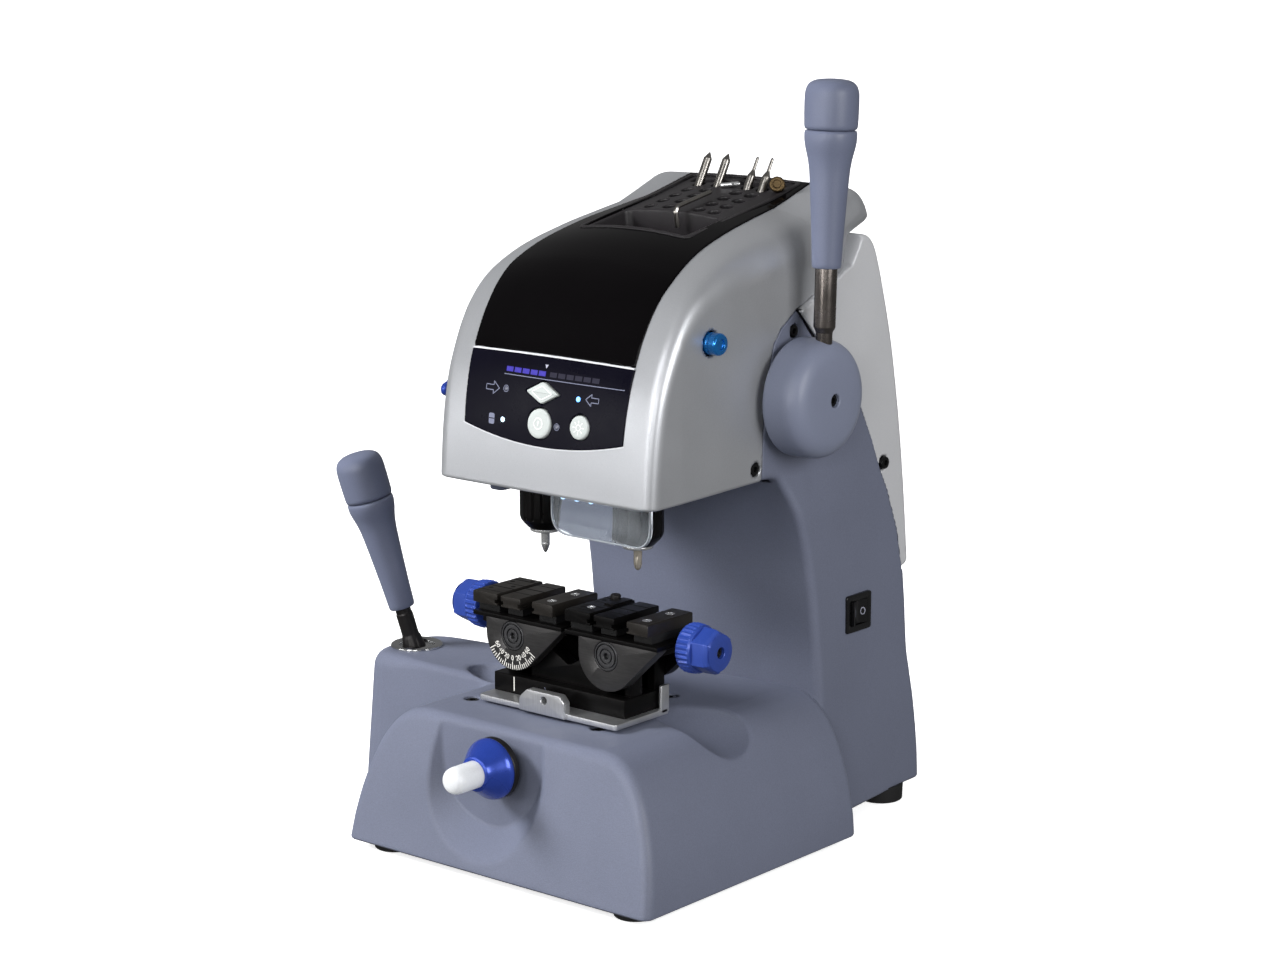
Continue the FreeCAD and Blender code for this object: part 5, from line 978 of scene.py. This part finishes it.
# ---------------------------------------------------------------- table and clamps
def ring_plate(name, outer, inner, z0, z1, mat, body, m4, edge=0.4, lip=0.2, seat=None, **k):
    """Plate with an opening. outer and inner hold matching points; seat sinks a wider opening into the z1 side."""
    outer, inner = np.asarray(outer, float), np.asarray(inner, float)
    if ((outer[:, 0] * np.roll(outer[:, 1], -1)) - (np.roll(outer[:, 0], -1) * outer[:, 1])).sum() < 0:
        outer, inner = outer[::-1], inner[::-1]
        seat = (seat[0][::-1], seat[1]) if seat else None
    n = len(outer)
    at = lambda q, z: np.column_stack([q, np.full(n, z)])
    loops = [at(inner, z0)]
    loops += [at(offset_loop(outer, edge * (1 - math.sin(a))), z0 + edge * (1 - math.cos(a))) for a in (0, math.pi / 6, math.pi / 3, math.pi / 2)]
    loops += [at(offset_loop(outer, edge * (1 - math.cos(a))), z1 - edge * (1 - math.sin(a))) for a in (0, math.pi / 6, math.pi / 3, math.pi / 2)]
    if seat:
        ring, depth = seat
        mid = ring.mean(0)
        loops += [at(mid + (ring - mid) * 1.03, z1), at(ring, z1 - 0.3), at(ring, z1 - depth), at(inner, z1 - depth)]
    else:
        mid = inner.mean(0)
        loops += [at(mid + (inner - mid) * (1 + lip * 0.3), z1), at(inner, z1 - lip)]
    loops.append(at(inner, z0))
    v, f = loft_loops(loops, cap=False)
    return make(name, put(m4, v), f, mat, body, **k)


def around(outline, centre, r, step=1.0):
    """Dense outline and the circle seen from its centre at the same bearings."""
    o = dense(outline, True, step)
    d = np.asarray(o, float) - np.array(centre)
    d /= np.linalg.norm(d, axis=1, keepdims=True)
    return np.asarray(o, float), np.array(centre) + d * r, d


PX, PZ = 41.6, 151.6
slab("table_sheet", rounded_loop([(-61.0, -116.5), (61.0, -116.5), (61.0, -60.0), (-61.0, -60.0)], 2.5), 106.5, 110.5, M["plate"], "table", edge=0.5, node="table_plate", slot="plate_silver")
o, c, d = around(rounded_loop([(-22.0, 107.0), (-22.0, 116.0), (-15.0, 122.5), (14.0, 122.5), (18.0, 118.0), (18.0, 107.0)], [0, 1.6, 1.6, 1.2, 1.2, 0]), (0.0, 117.0), 2.6)
ring_plate("table_tab", o, c, 0.0, 6.5, M["plate"], "table", along_y(-112.5), edge=0.5, lip=0.6, slot="plate_silver")
brick("table_rear_tab", 58.4, 61.0, -68.5, -60.0, 108.0, 127.0, M["plate"], "table", edge=0.4, corner=0.8, slot="plate_silver")
brick("block_slab_body", -60.0, 56.5, -102.0, -58.0, 110.5, 123.5, M["black"], "table", edge=0.6, corner=1.0, node="carriage_block", slot="black_oxide")
cradle = [(PX + x, PZ + z) for x, z in ((-8.5, 3.5), (0.0, 6.0), (8.5, 1.5), (13.9, -3.0))]
cradle = [(-55.5, 122.0)] + [(-x, z) for x, z in reversed(cradle)] + [(0.0, PZ - 15.6)] + cradle + [(55.5, 122.0)]
for b, y0, y1 in (("front", -92.9, -82.0), ("rear", -69.0, -58.5)):
    slab("cradle_" + b, rounded_loop(cradle, [0, 2.0, 2.0, 0, 2.0, 3.0, 2.0, 0, 2.0, 2.0, 0]), 0.0, y1 - y0, M["black"], "table", m4=along_y(y1), edge=0.4, slot="black_oxide")
for s, px in (("left", -PX), ("right", PX)):
    ear = [(px + 8.5, 123.0)] + [(px + 8.5 * math.cos(a), PZ + 8.5 * math.sin(a)) for a in np.linspace(0, math.pi, 17)] + [(px - 8.5, 123.0)]
    for b, y0, y1 in (("front", -92.9, -82.0), ("rear", -69.0, -58.5)):
        slab("prong_%s_%s" % (s, b), ear, 0.0, y1 - y0, M["black"], "table", m4=along_y(y1), edge=0.5, slot="black_oxide")
first = True
for s, px in (("left", -PX), ("right", PX)):
    turned("pivot_disc_" + s, [(0.001, -19.2), (6.0, -19.2), (6.0, 0.0), (10.0, 0.0), (10.0, 1.7), (9.6, 2.2), (8.8, 2.2), (8.7, 0.5), (7.8, 0.5), (7.7, 2.2), (5.4, 2.2), (5.3, 0.5), (4.5, 0.5), (4.4, 2.2), (2.6, 2.2), (2.1, 1.6), (2.1, -1.2), (0.001, -1.2)],
           (px, -101.2, PZ), (0, -1, 0), M["disc"], "table", n=88, r=0.08, slot="gunmetal", **({"node": "clamp_pivots"} if first else {}))
    turned("pivot_pin_" + s, [(0.001, 0.0), (6.0, 0.0), (6.0, 20.4), (5.4, 21.0), (0.001, 21.0)], (px, -69.0, PZ), (0, 1, 0), M["disc"], "table", n=48, r=0.2, slot="gunmetal")
    first = False


def clamp_shape(px):
    pts = [(-24.0, 11.0), (-24.0, 0.0)] + [(24.0 * math.cos(a), 24.0 * math.sin(a)) for a in np.linspace(math.pi, math.radians(313.0), 30)[1:]] + [(44.0, 9.2), (44.0, 11.0)]
    return [(px + x, PZ + z) for x, z in pts]


def grooved(y0, y1, z0, z1, cuts, ch=0.5):
    """Outline in (y, z) with square grooves (y, width, depth) cut in its top."""
    pts = [(y0, z0), (y0, z1 - ch), (y0 + ch, z1)]
    for y, w, dep in cuts:
        pts += [(y - w / 2, z1), (y - w / 2, z1 - dep), (y + w / 2, z1 - dep), (y + w / 2, z1)]
    return pts + [(y1 - ch, z1), (y1, z1 - ch), (y1, z0)]


GLYPH = {"0": [[(0.5 + 0.42 * math.sin(a), 0.5 + 0.5 * math.cos(a)) for a in np.linspace(0, TAU, 17)]],
         "2": [[(0.08, 0.78), (0.22, 0.95), (0.5, 1.0), (0.8, 0.92), (0.9, 0.72), (0.8, 0.5), (0.08, 0.0), (0.94, 0.0)]],
         "4": [[(0.68, 0.0), (0.68, 1.0), (0.04, 0.3), (0.98, 0.3)]],
         "6": [[(0.86, 0.9), (0.6, 1.0), (0.3, 0.9), (0.1, 0.55), (0.1, 0.25), (0.3, 0.03), (0.6, 0.0), (0.86, 0.15), (0.9, 0.38), (0.66, 0.58), (0.34, 0.55), (0.12, 0.36)]]}


def face_place(y):
    return lambda p, l=0: np.column_stack([np.asarray(p)[:, 0], np.full(len(p), y), np.asarray(p)[:, 1]])


def facets(n, soft, lo, hi):
    def shape(a, r, z):
        if z < lo or z > hi:
            return r
        t = (a % (TAU / n)) - TAU / n / 2
        return r * (1 - soft + soft * math.cos(math.pi / n) / math.cos(t))
    return shape


for s, px, hand in (("left", -PX, -1), ("right", PX, 1)):
    body, jaw, knob = s + "_clamp", s + "_jaw", s + "_knob"
    o, c, d = around(rounded_loop(clamp_shape(px), [0.6, 0.0] + [0] * 29 + [0.8, 0.4]), (px, PZ), 6.05)
    ring_plate(body + "_face", o, c, 0.0, 10.0, M["face"], body, along_y(-93.4), edge=0.45, seat=(np.array((px, PZ)) + d * 10.3, 2.8), node=body + "_body", slot="black_oxide")
    ring_plate(body + "_back", o, c, 0.0, 10.0, M["black"], body, along_y(-48.0), edge=0.45, slot="black_oxide")
    x0, x1, y0, y1 = px - 36.0, px + 44.0, -103.4, -48.0
    ring_plate(body + "_top", [(x0, y0), (x1, y0), (x1, y1), (x0, y1)], [(px - 18.5, -81.5), (px + 17.0, -81.5), (px + 17.0, -69.5), (px - 18.5, -69.5)], PZ + 9.8, PZ + 13.0, M["black"], body, np.eye(4), edge=0.4, slot="black_oxide")
    ex = px - 36.0 if hand < 0 else px + 26.0
    brick(body + "_screw_end", ex, ex + 10.0, -93.4, -58.0, PZ + 3.0, PZ + 9.8, M["black"], body, edge=0.4, slot="black_oxide")
    top, cut = PZ + 27.0, PZ + 18.8
    near = [(-36.0, cut), (-14.0, cut), (-14.0, cut + 1.4), (-16.2, cut + 1.4), (-16.2, cut + 4.0), (-14.0, cut + 4.0), (-14.0, top - 0.6), (-14.6, top), (-35.2, top), (-36.0, top - 0.8)]
    mid = [(-10.5, cut), (7.0, cut), (7.0, cut + 1.2), (5.0, cut + 1.2), (5.0, cut + 3.8), (7.0, cut + 3.8), (7.0, top - 0.8), (6.4, top - 0.2), (-9.9, top - 0.2), (-10.5, top - 0.8), (-10.5, cut + 4.0), (-8.5, cut + 4.0), (-8.5, cut + 1.4), (-10.5, cut + 1.4)]
    # left clamp's near and moving jaws take the lighter jaw finish, partly real wear and partly painted sheen of their
    # lit tops; the right clamp's stay black
    skinmat = M["jaw"] if hand < 0 else M["black"]
    slab(body + "_near_jaw", [(px + x, z) for x, z in near], 0.0, 47.4, skinmat, body, m4=along_y(-56.0), edge=0.3, slot="black_oxide")
    slab(jaw + "_head", [(px + x, z) for x, z in mid], 0.0, 47.4, skinmat, jaw, m4=along_y(-56.0), edge=0.3, node=s + "_clamp_jaw", slot="black_oxide")
    # jaw feet in the near-black painted shade material: painted shade in the gap under the jaws
    brick(body + "_near_foot", px - 35.0, px - 16.4, -98.0, -58.0, PZ + 12.6, cut + 0.4, M["hole"], body, edge=0.2, slot="black_oxide")
    brick(jaw + "_foot", px - 8.4, px + 4.9, -98.0, -58.0, PZ + 13.3, cut + 0.4, M["hole"], jaw, edge=0.2, slot="black_oxide")
    brick(body + "_far_foot", px + 20.0, px + 35.0, -98.0, -58.0, PZ + 12.6, cut + 0.4, M["hole"], body, edge=0.2, slot="black_oxide")
    # grooves drawn as thin near-black strips on the jaw tops: painted shade, not cut into the jaw
    for tag, a, b, bod, zt, ys in (("near", -36.0, -14.0, body, top, (-97.0, -85.5, -74.5, -63.0)), ("mid", -10.5, 7.0, jaw, top - 0.2, (-90.0, -78.0, -66.0))):
        for i, yy in enumerate(ys):
            wide = 1.7 if i % 2 else 1.0
            brick("%s_%s_groove_%d" % (s, tag, i), px + a + 0.5, px + b - 0.5, yy - wide / 2, yy + wide / 2, zt - 0.3, zt + 0.06, M["hole"], bod, edge=0.02, slot="black_oxide")
    # holes drawn as flush near-black discs: painted shade of the holes, not cut
    for i, (hx, yy) in enumerate(((-30.5, -91.0), (-20.0, -80.0), (-30.5, -69.0), (-20.0, -60.0))):
        turned("%s_near_hole_%d" % (s, i), [(0.001, -0.3), (1.7, -0.3), (1.7, 0.07), (0.001, 0.07)], (px + hx, yy, top), (0, 0, 1), M["hole"], body, n=24, r=0, slot="black_oxide")
    if hand > 0:
        turned(body + "_stop_screw", [(0.001, 0.0), (3.6, 0.0), (3.6, 2.6), (2.9, 3.4), (1.6, 3.4), (1.6, 1.8), (0.001, 1.8)], (px - 27.0, -61.0, top), (0, 0, 1), M["socket"], body, n=40, r=0.2, slot="chrome")
        turned(body + "_near_screw", [(0.001, 0.2), (3.0, 0.2), (3.0, 0.4), (2.7, 0.5), (1.6, 0.5), (1.4, -0.2), (0.001, -0.2)], (px - 24.5, -89.0, top - 0.1), (0, 0, 1), M["bright"], body, n=40, r=0.05, slot="chrome")
        brick(body + "_stop_plate", px - 23.0, px - 14.6, -78.0, -57.5, top - 0.2, top + 1.0, M["black"], body, edge=0.3, corner=1.0, slot="black_oxide")
    o, c, d = around(rounded_loop([(-81.0, PZ + 5.4), (-70.0, PZ + 5.4), (-70.0, PZ + 13.6), (-81.0, PZ + 13.6)], 0.6), (-75.5, PZ + 9.4), 3.15)
    ring_plate(jaw + "_nut", o, c, 0.0, 12.0, M["black"], jaw, along_x(px - 7.5), edge=0.3, lip=0.2, slot="black_oxide")
    far = [(px + 18.0, cut), (px + 36.0, cut), (px + 36.0, top - 0.8), (px + 35.2, top), (px + 18.6, top), (px + 18.0, top - 0.6), (px + 18.0, cut + 3.8), (px + 19.8, cut + 3.8), (px + 19.8, cut + 1.2), (px + 18.0, cut + 1.2)]
    # far jaws use the jaw finish: real wear plus its painted sheen
    slab(body + "_far_jaw", far, 0.0, 47.4, M["jaw"], body, m4=along_y(-56.0), edge=0.35, slot="black_oxide")
    for i, yy in enumerate((-93.0, -69.0)):
        turned("%s_jaw_screw_%d" % (body, i), [(0.001, 0.2), (3.3, 0.2), (3.3, 0.3), (3.0, 0.35), (1.7, 0.35), (1.5, -0.4), (0.001, -0.4)], (px + 27.0, yy, top - 0.15), (0, 0, 1), M["bright"], body, n=40, r=0.05, slot="chrome")
    screw_from = px + 4.0 if hand < 0 else px + 0.5
    at = (screw_from, -75.5, PZ + 9.4)
    ax = (hand, 0, 0)
    turned(knob + "_screw", [(0.001, 0.0), (2.6, 0.0), (2.95, 0.6), (2.95, 44.0), (7.4, 44.5), (7.4, 48.4), (0.001, 48.4)], at, ax, M["steel"], knob, n=48, r=0.2, slot="gunmetal")
    teeth = 30

    def knob_shape(a, r, z):
        if 48.9 < z < 59.2 and r > 12:
            t = (a * teeth / TAU) % 1.0
            return r - 0.95 * (0.5 + 0.5 * math.cos(TAU * t)) ** 0.6 * min(1.0, (z - 48.9) / 1.2, (59.2 - z) / 1.2)
        return facets(6, 0.85, 60.4, 74.3)(a, r, z)

    prof = [(7.0, 47.9), (14.6, 48.5), (16.4, 49.2), (17.0, 51.0), (16.9, 53.0), (16.7, 56.0), (16.5, 58.4), (15.7, 59.6), (15.3, 60.2), (15.7, 61.4), (15.6, 64.0), (15.5, 67.0), (15.3, 70.4), (14.2, 73.2), (12.2, 74.5), (8.0, 75.0), (4.2, 75.0), (3.8, 74.6), (3.8, 70.0), (0.001, 70.0)]
    turned(knob + "_grip", prof, at, ax, M["blue"], knob, n=240, shape=knob_shape, r=0.5, sharp=55, node=s + "_clamp_knob", slot="blue")
    turned(knob + "_core", [(0.001, 70.1), (3.7, 70.1), (3.7, 72.6), (2.2, 72.6), (2.0, 71.4), (0.001, 71.4)], at, ax, M["socket"], knob, n=40, r=0.15, slot="gunmetal")

fy = -103.47
for i in range(25):
    a = math.radians(-90.0 + (i - 12) * 5.0)
    inner_r = 17.8 if i % 4 == 0 else 20.2
    pts = [(-PX + r * math.cos(a), PZ + r * math.sin(a)) for r in (inner_r, 23.4)]
    ribbon("scale_tick_%d" % i, np.array(pts), 0.66, M["scale"], 0, False, face_place(fy), "left_clamp", "plate_silver")
for i, text in ((-12, "60"), (-8, "40"), (-4, "20"), (0, "0"), (4, "20"), (8, "40"), (12, "60")):
    a = math.radians(-90.0 + i * 5.0)
    up = np.array([-math.cos(a), -math.sin(a)])
    right = np.array([up[1], -up[0]])
    mid = np.array([-PX, PZ]) + 15.4 * np.array([math.cos(a), math.sin(a)])
    for j, ch in enumerate(text):
        for kk, stroke in enumerate(GLYPH[ch]):
            pts = np.array([mid + right * ((u - 0.5) * 1.8 + (j - (len(text) - 1) / 2) * 2.3) + up * (w - 0.5) * 3.2 for u, w in stroke])
            ribbon("scale_digit_%d_%d_%d" % (i + 12, j, kk), pts, 0.55, M["scale"], 0, False, face_place(fy), "left_clamp", "plate_silver")
ribbon("index_line", np.array([(-PX, 112.6), (-PX, 122.6)]), 0.9, M["scale"], 0, False, face_place(-102.07), "table", "plate_silver")
ribbon("block_scratch", np.array([(-14.0, 120.2), (-9.0, 113.6)]), 0.35, M["ink_dim"], 0, False, face_place(-102.07), "table", "plate_silver")

# ---------------------------------------------------------------- front knob, plunger, lever, switch, inlet, feet
FK = (-4.5, -142.0, 80.0)
turned("front_knob_stem", [(0.001, 0.0), (4.6, 0.0), (5.0, 0.5), (5.0, 18.8), (0.001, 18.8)], FK, (0, -1, 0), M["steel"], "front_lock", n=48, r=0.2, slot="gunmetal")
turned("front_knob_ring", [(4.8, 18.5), (19.6, 18.5), (20.5, 19.1), (20.8, 20.0), (20.8, 23.2), (20.4, 23.9), (12.0, 24.2)], FK, (0, -1, 0), M["socket"], "front_lock", n=144, r=0.4, slot="black_oxide")
v, f = lathe(np.concatenate([[(11.0, 23.9), (19.8, 23.9), (20.7, 24.4)], spline([(20.9, 25.2), (20.2, 27.8), (18.0, 31.2), (15.8, 34.4), (13.8, 37.2), (12.4, 39.4), (11.8, 40.6)], 0.9), [(11.2, 41.0), (9.4, 41.0), (9.3, 36.2)]]), 144)
make("front_knob_cone", put(frame_to(FK, (0, -1, 0)), v), f, M["blue_deep"], "front_lock", node="front_knob", slot="blue", sharp=60)
# tip of the front knob carries a faint painted glow to look brighter
turned("front_knob_lens", [(0.001, 36.2), (9.2, 36.2), (9.2, 42.0), (9.2, 58.4), (8.6, 61.8), (7.0, 64.0), (4.2, 65.0), (0.001, 65.2)], FK, (0, -1, 0), M["frost"], "front_lock", n=80, r=1.2, node="front_knob_tip", slot="tip_clear")
turned("plunger_body", [(0.001, 0.0), (7.4, 0.0), (7.4, 12.0), (7.0, 12.4), (7.0, 13.6), (7.4, 14.0), (7.4, 18.4), (6.6, 19.7), (4.2, 20.0), (3.6, 19.8), (3.3, 18.5), (0.001, 18.3)], (84.0, -60.0, 362.0), (1, 0, 0), M["blue_sky"], "side_plunger", n=80, r=0.3, node="side_button", slot="blue")
turned("latch_boss", [(0.001, 2.0), (4.0, 2.0), (4.0, 15.4), (6.6, 15.4), (7.0, 15.9), (7.0, 20.4), (6.0, 21.5), (0.001, 21.6)], (-80.0, -98.0, 316.0), (-1, 0, 0), M["blue_deep"], "left_latch", n=64, r=0.3, node="left_lever", slot="blue")
slab("latch_arm", rounded_loop([(-96.0, 310.2), (-105.0, 311.0), (-108.4, 313.2), (-108.4, 318.2), (-105.0, 320.4), (-96.0, 321.8)], 2.0), 0.0, 4.6, M["blue_deep"], "left_latch", m4=along_x(-101.4), edge=1.2, slot="blue")
bz_o = rounded_loop([(84.5, 138.5), (113.5, 138.5), (113.5, 165.5), (84.5, 165.5)], 2.4)
bz_c = rounded_loop([(89.0, 143.0), (109.0, 143.0), (109.0, 161.0), (89.0, 161.0)], 0.8)
ring_plate("switch_bezel_frame", bz_o, bz_c, -9.0, 2.0, M["switch"], "machine", along_x(101.0), edge=0.7, lip=0.5, node="switch_bezel", slot="switch_black")
rk = np.array(Matrix.Translation((100.6, 99.0, 0.0)) @ Matrix.Rotation(math.radians(6.0), 4, "Z"))
arc = [(3.3 - 2.4 * math.cos(math.pi / 2 * w / 8.9) ** 1.4, w) for w in np.linspace(-8.9, 8.9, 21)]
slab("rocker_bar_body", [(-5.4, -8.9)] + arc + [(-5.4, 8.9)], 143.5, 160.5, M["switch"], "rocker", m4=rk, edge=0.4, node="power_rocker", slot="switch_black")
rm = lambda p, l=0: put(rk, np.column_stack([3.36 - 2.4 * np.cos(math.pi / 2 * np.clip(np.asarray(p)[:, 0], -8.9, 8.9) / 8.9) ** 1.4 + 0.02, np.asarray(p)[:, 0], np.asarray(p)[:, 1]]))
ribbon("rocker_mark_on", np.array([(-5.0, 149.4), (-5.0, 154.6)]), 0.6, M["ink"], 0, False, rm, "rocker", "switch_black")
ribbon("rocker_mark_off", np.array([(5.0 + 1.9 * math.cos(a), 152.0 + 2.4 * math.sin(a)) for a in np.linspace(0, TAU, 25)[:-1]]), 0.55, M["ink"], 0, True, rm, "rocker", "switch_black")
back = axes((0, 0, 0), (-1, 0, 0), (0, 0, 1), (0, 1, 0))
in_o = rounded_loop([(-75.0, 31.0), (-25.0, 31.0), (-25.0, 59.0), (-75.0, 59.0)], 3.0)
in_c = rounded_loop([(-62.0, 37.5), (-38.0, 37.5), (-38.0, 52.5), (-62.0, 52.5)], 1.6)
ring_plate("inlet_frame", in_o, in_c, 167.9, 171.0, M["switch"], "machine", back, edge=0.8, lip=0.6, node="power_inlet", slot="switch_black")
ring_plate("inlet_cup", rounded_loop([(-64.0, 35.4), (-36.0, 35.4), (-36.0, 54.6), (-64.0, 54.6)], 1.6), in_c, 150.0, 168.2, M["switch"], "machine", back, edge=0.3, lip=0.1, slot="switch_black")
brick("inlet_floor", 37.0, 63.0, 150.2, 152.0, 36.6, 53.4, M["switch"], "machine", edge=0.3, slot="switch_black")
for i, (x, z) in enumerate([(50.0, 47.6), (43.0, 42.6), (57.0, 42.6)]):
    slab("inlet_pin_%d" % i, rounded_loop([(-x - 1.0, z - 2.1), (-x + 1.0, z - 2.1), (-x + 1.0, z + 2.1), (-x - 1.0, z + 2.1)], 0.4), 151.8, 164.0, M["bright"], "machine", m4=back, edge=0.4, slot="switch_black")
for i, x in enumerate((30.0, 70.0)):
    socket_screw("inlet_screw_%d" % i, (x, 169.2, 45.0), (0, 1, 0), 2.6)
first = True
for i, (x, y, r, h) in enumerate([(108.0, -152.0, 15.0, 6.0), (-108.0, -152.0, 15.0, 6.0), (86.0, 152.0, 16.5, 12.0), (-86.0, 152.0, 16.5, 12.0)]):
    turned("foot_%d" % i, [(0.001, 0.0), (r - 1.6, 0.0), (r - 0.5, 0.8), (r, h - 0.6), (r, h), (0.001, h)], (x, y, 0.0), (0, 0, 1), M["rubber"], "machine", n=64, r=0.4, slot="rubber", **({"node": "rubber_feet"} if first else {}))
    first = False

# ---------------------------------------------------------------- return springs round the guide rods
def coil(x0, y0, z0, z1, radius, wire, turns, per=36, sides=12):
    t = np.linspace(0.0, 1.0, int(turns * per) + 1)
    a = TAU * turns * t
    flat = np.clip(np.minimum(t, 1.0 - t) * turns, 0.0, 1.0)
    rise = np.cumsum(0.25 + 0.75 * flat)
    rise = (rise - rise[0]) / (rise[-1] - rise[0])
    z = z0 + wire + (z1 - z0 - 2.0 * wire) * rise
    out = np.column_stack([np.cos(a), np.sin(a), 0.0 * a])
    mid = np.column_stack([x0 + radius * np.cos(a), y0 + radius * np.sin(a), z])
    b = TAU * np.arange(sides) / sides
    v = (mid[:, None] + wire * (np.cos(b)[None, :, None] * out[:, None] + np.sin(b)[None, :, None] * np.array([0.0, 0.0, 1.0]))).reshape(-1, 3)
    f = [[i * sides + j, i * sides + (j + 1) % sides, (i + 1) * sides + (j + 1) % sides, (i + 1) * sides + j] for i in range(len(t) - 1) for j in range(sides)]
    return v, f + [list(range(sides))[::-1], [(len(t) - 1) * sides + j for j in range(sides)]]


for i, x in enumerate((-68.0, 68.0)):
    v, f = coil(x, -38.0, 268.4, 319.2, 9.6, 1.0, 8.0)
    spring = make("feed_spring_%d" % i, v, f, M["steel"], "machine", slot="tool_steel", **({"node": "return_springs"} if i == 0 else {}))
    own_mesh(spring)

# ---------------------------------------------------------------- finishes of the inner parts
INNER = {"dark": ["head_underplate", "bottom_plate", "drive_motor"], "cast": ["spindle_carriage", "cross_saddle", "drive_block", "gimbal_ring"],
         "rubber": ["drive_belt"], "bright": ["guide_rods", "base_rails", "spindle_bearings"], "steel": ["spindle_shaft", "pinion_shaft", "feed_rack"],
         "black": ["spindle_pulley", "motor_pulley"]}
done = set()
for key, names in INNER.items():
    for name in names:
        if name in NODES:
            me = NODES[name].data
            me.materials.clear()
            me.materials.append(M[key])
            done.add(name)
for name, ob in NODES.items():
    if name not in done and not ob.hide_render:
        ob.data.materials.clear()
        ob.data.materials.append(M["cast"])
        print("plain finish on", name)

# ---------------------------------------------------------------- floor, light, camera
sweep = [(-3.0, 0.0), (1.6, 0.0)] + [(1.6 + 1.2 * math.sin(a), 1.2 - 1.2 * math.cos(a)) for a in np.linspace(0.05, math.pi / 2, 14)] + [(2.8, 4.0)]
turn = math.radians(39.7)
fx, fyv = np.array([math.cos(turn), math.sin(turn)]), np.array([-math.sin(turn), math.cos(turn)])
fv, ff = [], []
for t, h in sweep:
    for w in (-5.0, 5.0):
        q = fx * w + fyv * t
        fv.append((q[0], q[1], h - 0.0003))
for i in range(len(sweep) - 1):
    ff.append((2 * i, 2 * i + 1, 2 * i + 3, 2 * i + 2))
fm = bpy.data.meshes.new("floor_sweep")
fm.from_pydata([tuple(float(c) for c in q) for q in fv], [], ff)
fm.polygons.foreach_set("use_smooth", np.ones(len(ff), dtype=bool))
floor = bpy.data.objects.new("floor_sweep", fm)
bpy.context.scene.collection.objects.link(floor)
fm.materials.append(material("floor_pale_paper", (246, 246, 247), rough=0.85, tone=0.006, tone_scale=1.5, grain=0.004, grain_scale=300, spec=0.0, glow=(255, 255, 255), glow_power=0.72))
ring = [(3.6 * math.cos(a), 3.6 * math.sin(a)) for a in np.linspace(0, TAU, 97)[:-1]]
wm = bpy.data.meshes.new("studio_wall")
wm.from_pydata([(x, y, h) for h in (-0.8, 4.5) for x, y in ring], [], [(i, (i + 1) % 96, 96 + (i + 1) % 96, 96 + i) for i in range(96)])
wm.polygons.foreach_set("use_smooth", np.ones(96, dtype=bool))
wall = bpy.data.objects.new("studio_wall", wm)
bpy.context.scene.collection.objects.link(wall)
wm.materials.append(material("wall_pale_paper", (246, 246, 247), rough=0.85, tone=0.006, tone_scale=1.5, grain=0.004, grain_scale=300, spec=0.0, glow=(255, 255, 255), glow_power=0.95))
wall.visible_diffuse = wall.visible_glossy = wall.visible_shadow = False
floor.visible_diffuse = False
floor.visible_glossy = False


def soft(name, at, to, size, power, tint=(1, 1, 1), size_y=None):
    d = bpy.data.lights.new(name, "AREA")
    d.energy, d.color, d.size = power, tint, size
    if size_y:
        d.shape, d.size_y = "RECTANGLE", size_y
    ob = bpy.data.objects.new(name, d)
    ob.location = at
    ob.rotation_euler = (Vector(to) - Vector(at)).to_track_quat("-Z", "Y").to_euler()
    bpy.context.scene.collection.objects.link(ob)
    return ob


AIM = (0.0, 0.0, 0.25)
soft("key_left", (-1.5, -1.42, 1.45), AIM, 0.7, 74).visible_glossy = False
soft("key_front", (0.15, -2.05, 1.35), AIM, 0.8, 11)
soft("edge_front", (0.1, -2.3, 0.55), AIM, 0.5, 10).visible_diffuse = False
soft("low_left", (-1.2, -2.05, 0.42), (0.0, -0.1, 0.3), 1.2, 9, size_y=0.6)
soft("top_soft", (-0.1, 0.1, 2.2), AIM, 1.5, 1.5).visible_glossy = False
soft("key_right", (1.35, -2.2, 0.85), AIM, 0.6, 13)
soft("right_fill", (2.0, -0.4, 0.9), AIM, 1.0, 27)
soft("rear_fill", (-0.5, 1.9, 1.9), AIM, 1.2, 14).visible_glossy = False
world = bpy.data.worlds.new("studio_white")
bpy.context.scene.world = world
world.use_nodes = True
world.node_tree.nodes["Background"].inputs["Color"].default_value = (1.0, 1.0, 1.0, 1.0)
world.node_tree.nodes["Background"].inputs["Strength"].default_value = 0.16
scene = bpy.context.scene
scene.view_settings.view_transform = "Standard"
scene.view_settings.look = "None"
scene.view_settings.exposure = 0.0
cam = bpy.data.cameras.new("photo_view")
cam.lens, cam.sensor_width, cam.clip_end = 86.06, 36.0, 100.0
cam_ob = bpy.data.objects.new("photo_view", cam)
az, el = math.radians(39.7), math.radians(11.9)
behind = Vector((math.sin(az) * math.cos(el), -math.cos(az) * math.cos(el), math.sin(el)))
cam_ob.location = (1.31232, -1.59829, 0.68471)
cam_ob.rotation_euler = (-behind).to_track_quat("-Z", "Y").to_euler()
scene.collection.objects.link(cam_ob)
scene.camera = cam_ob
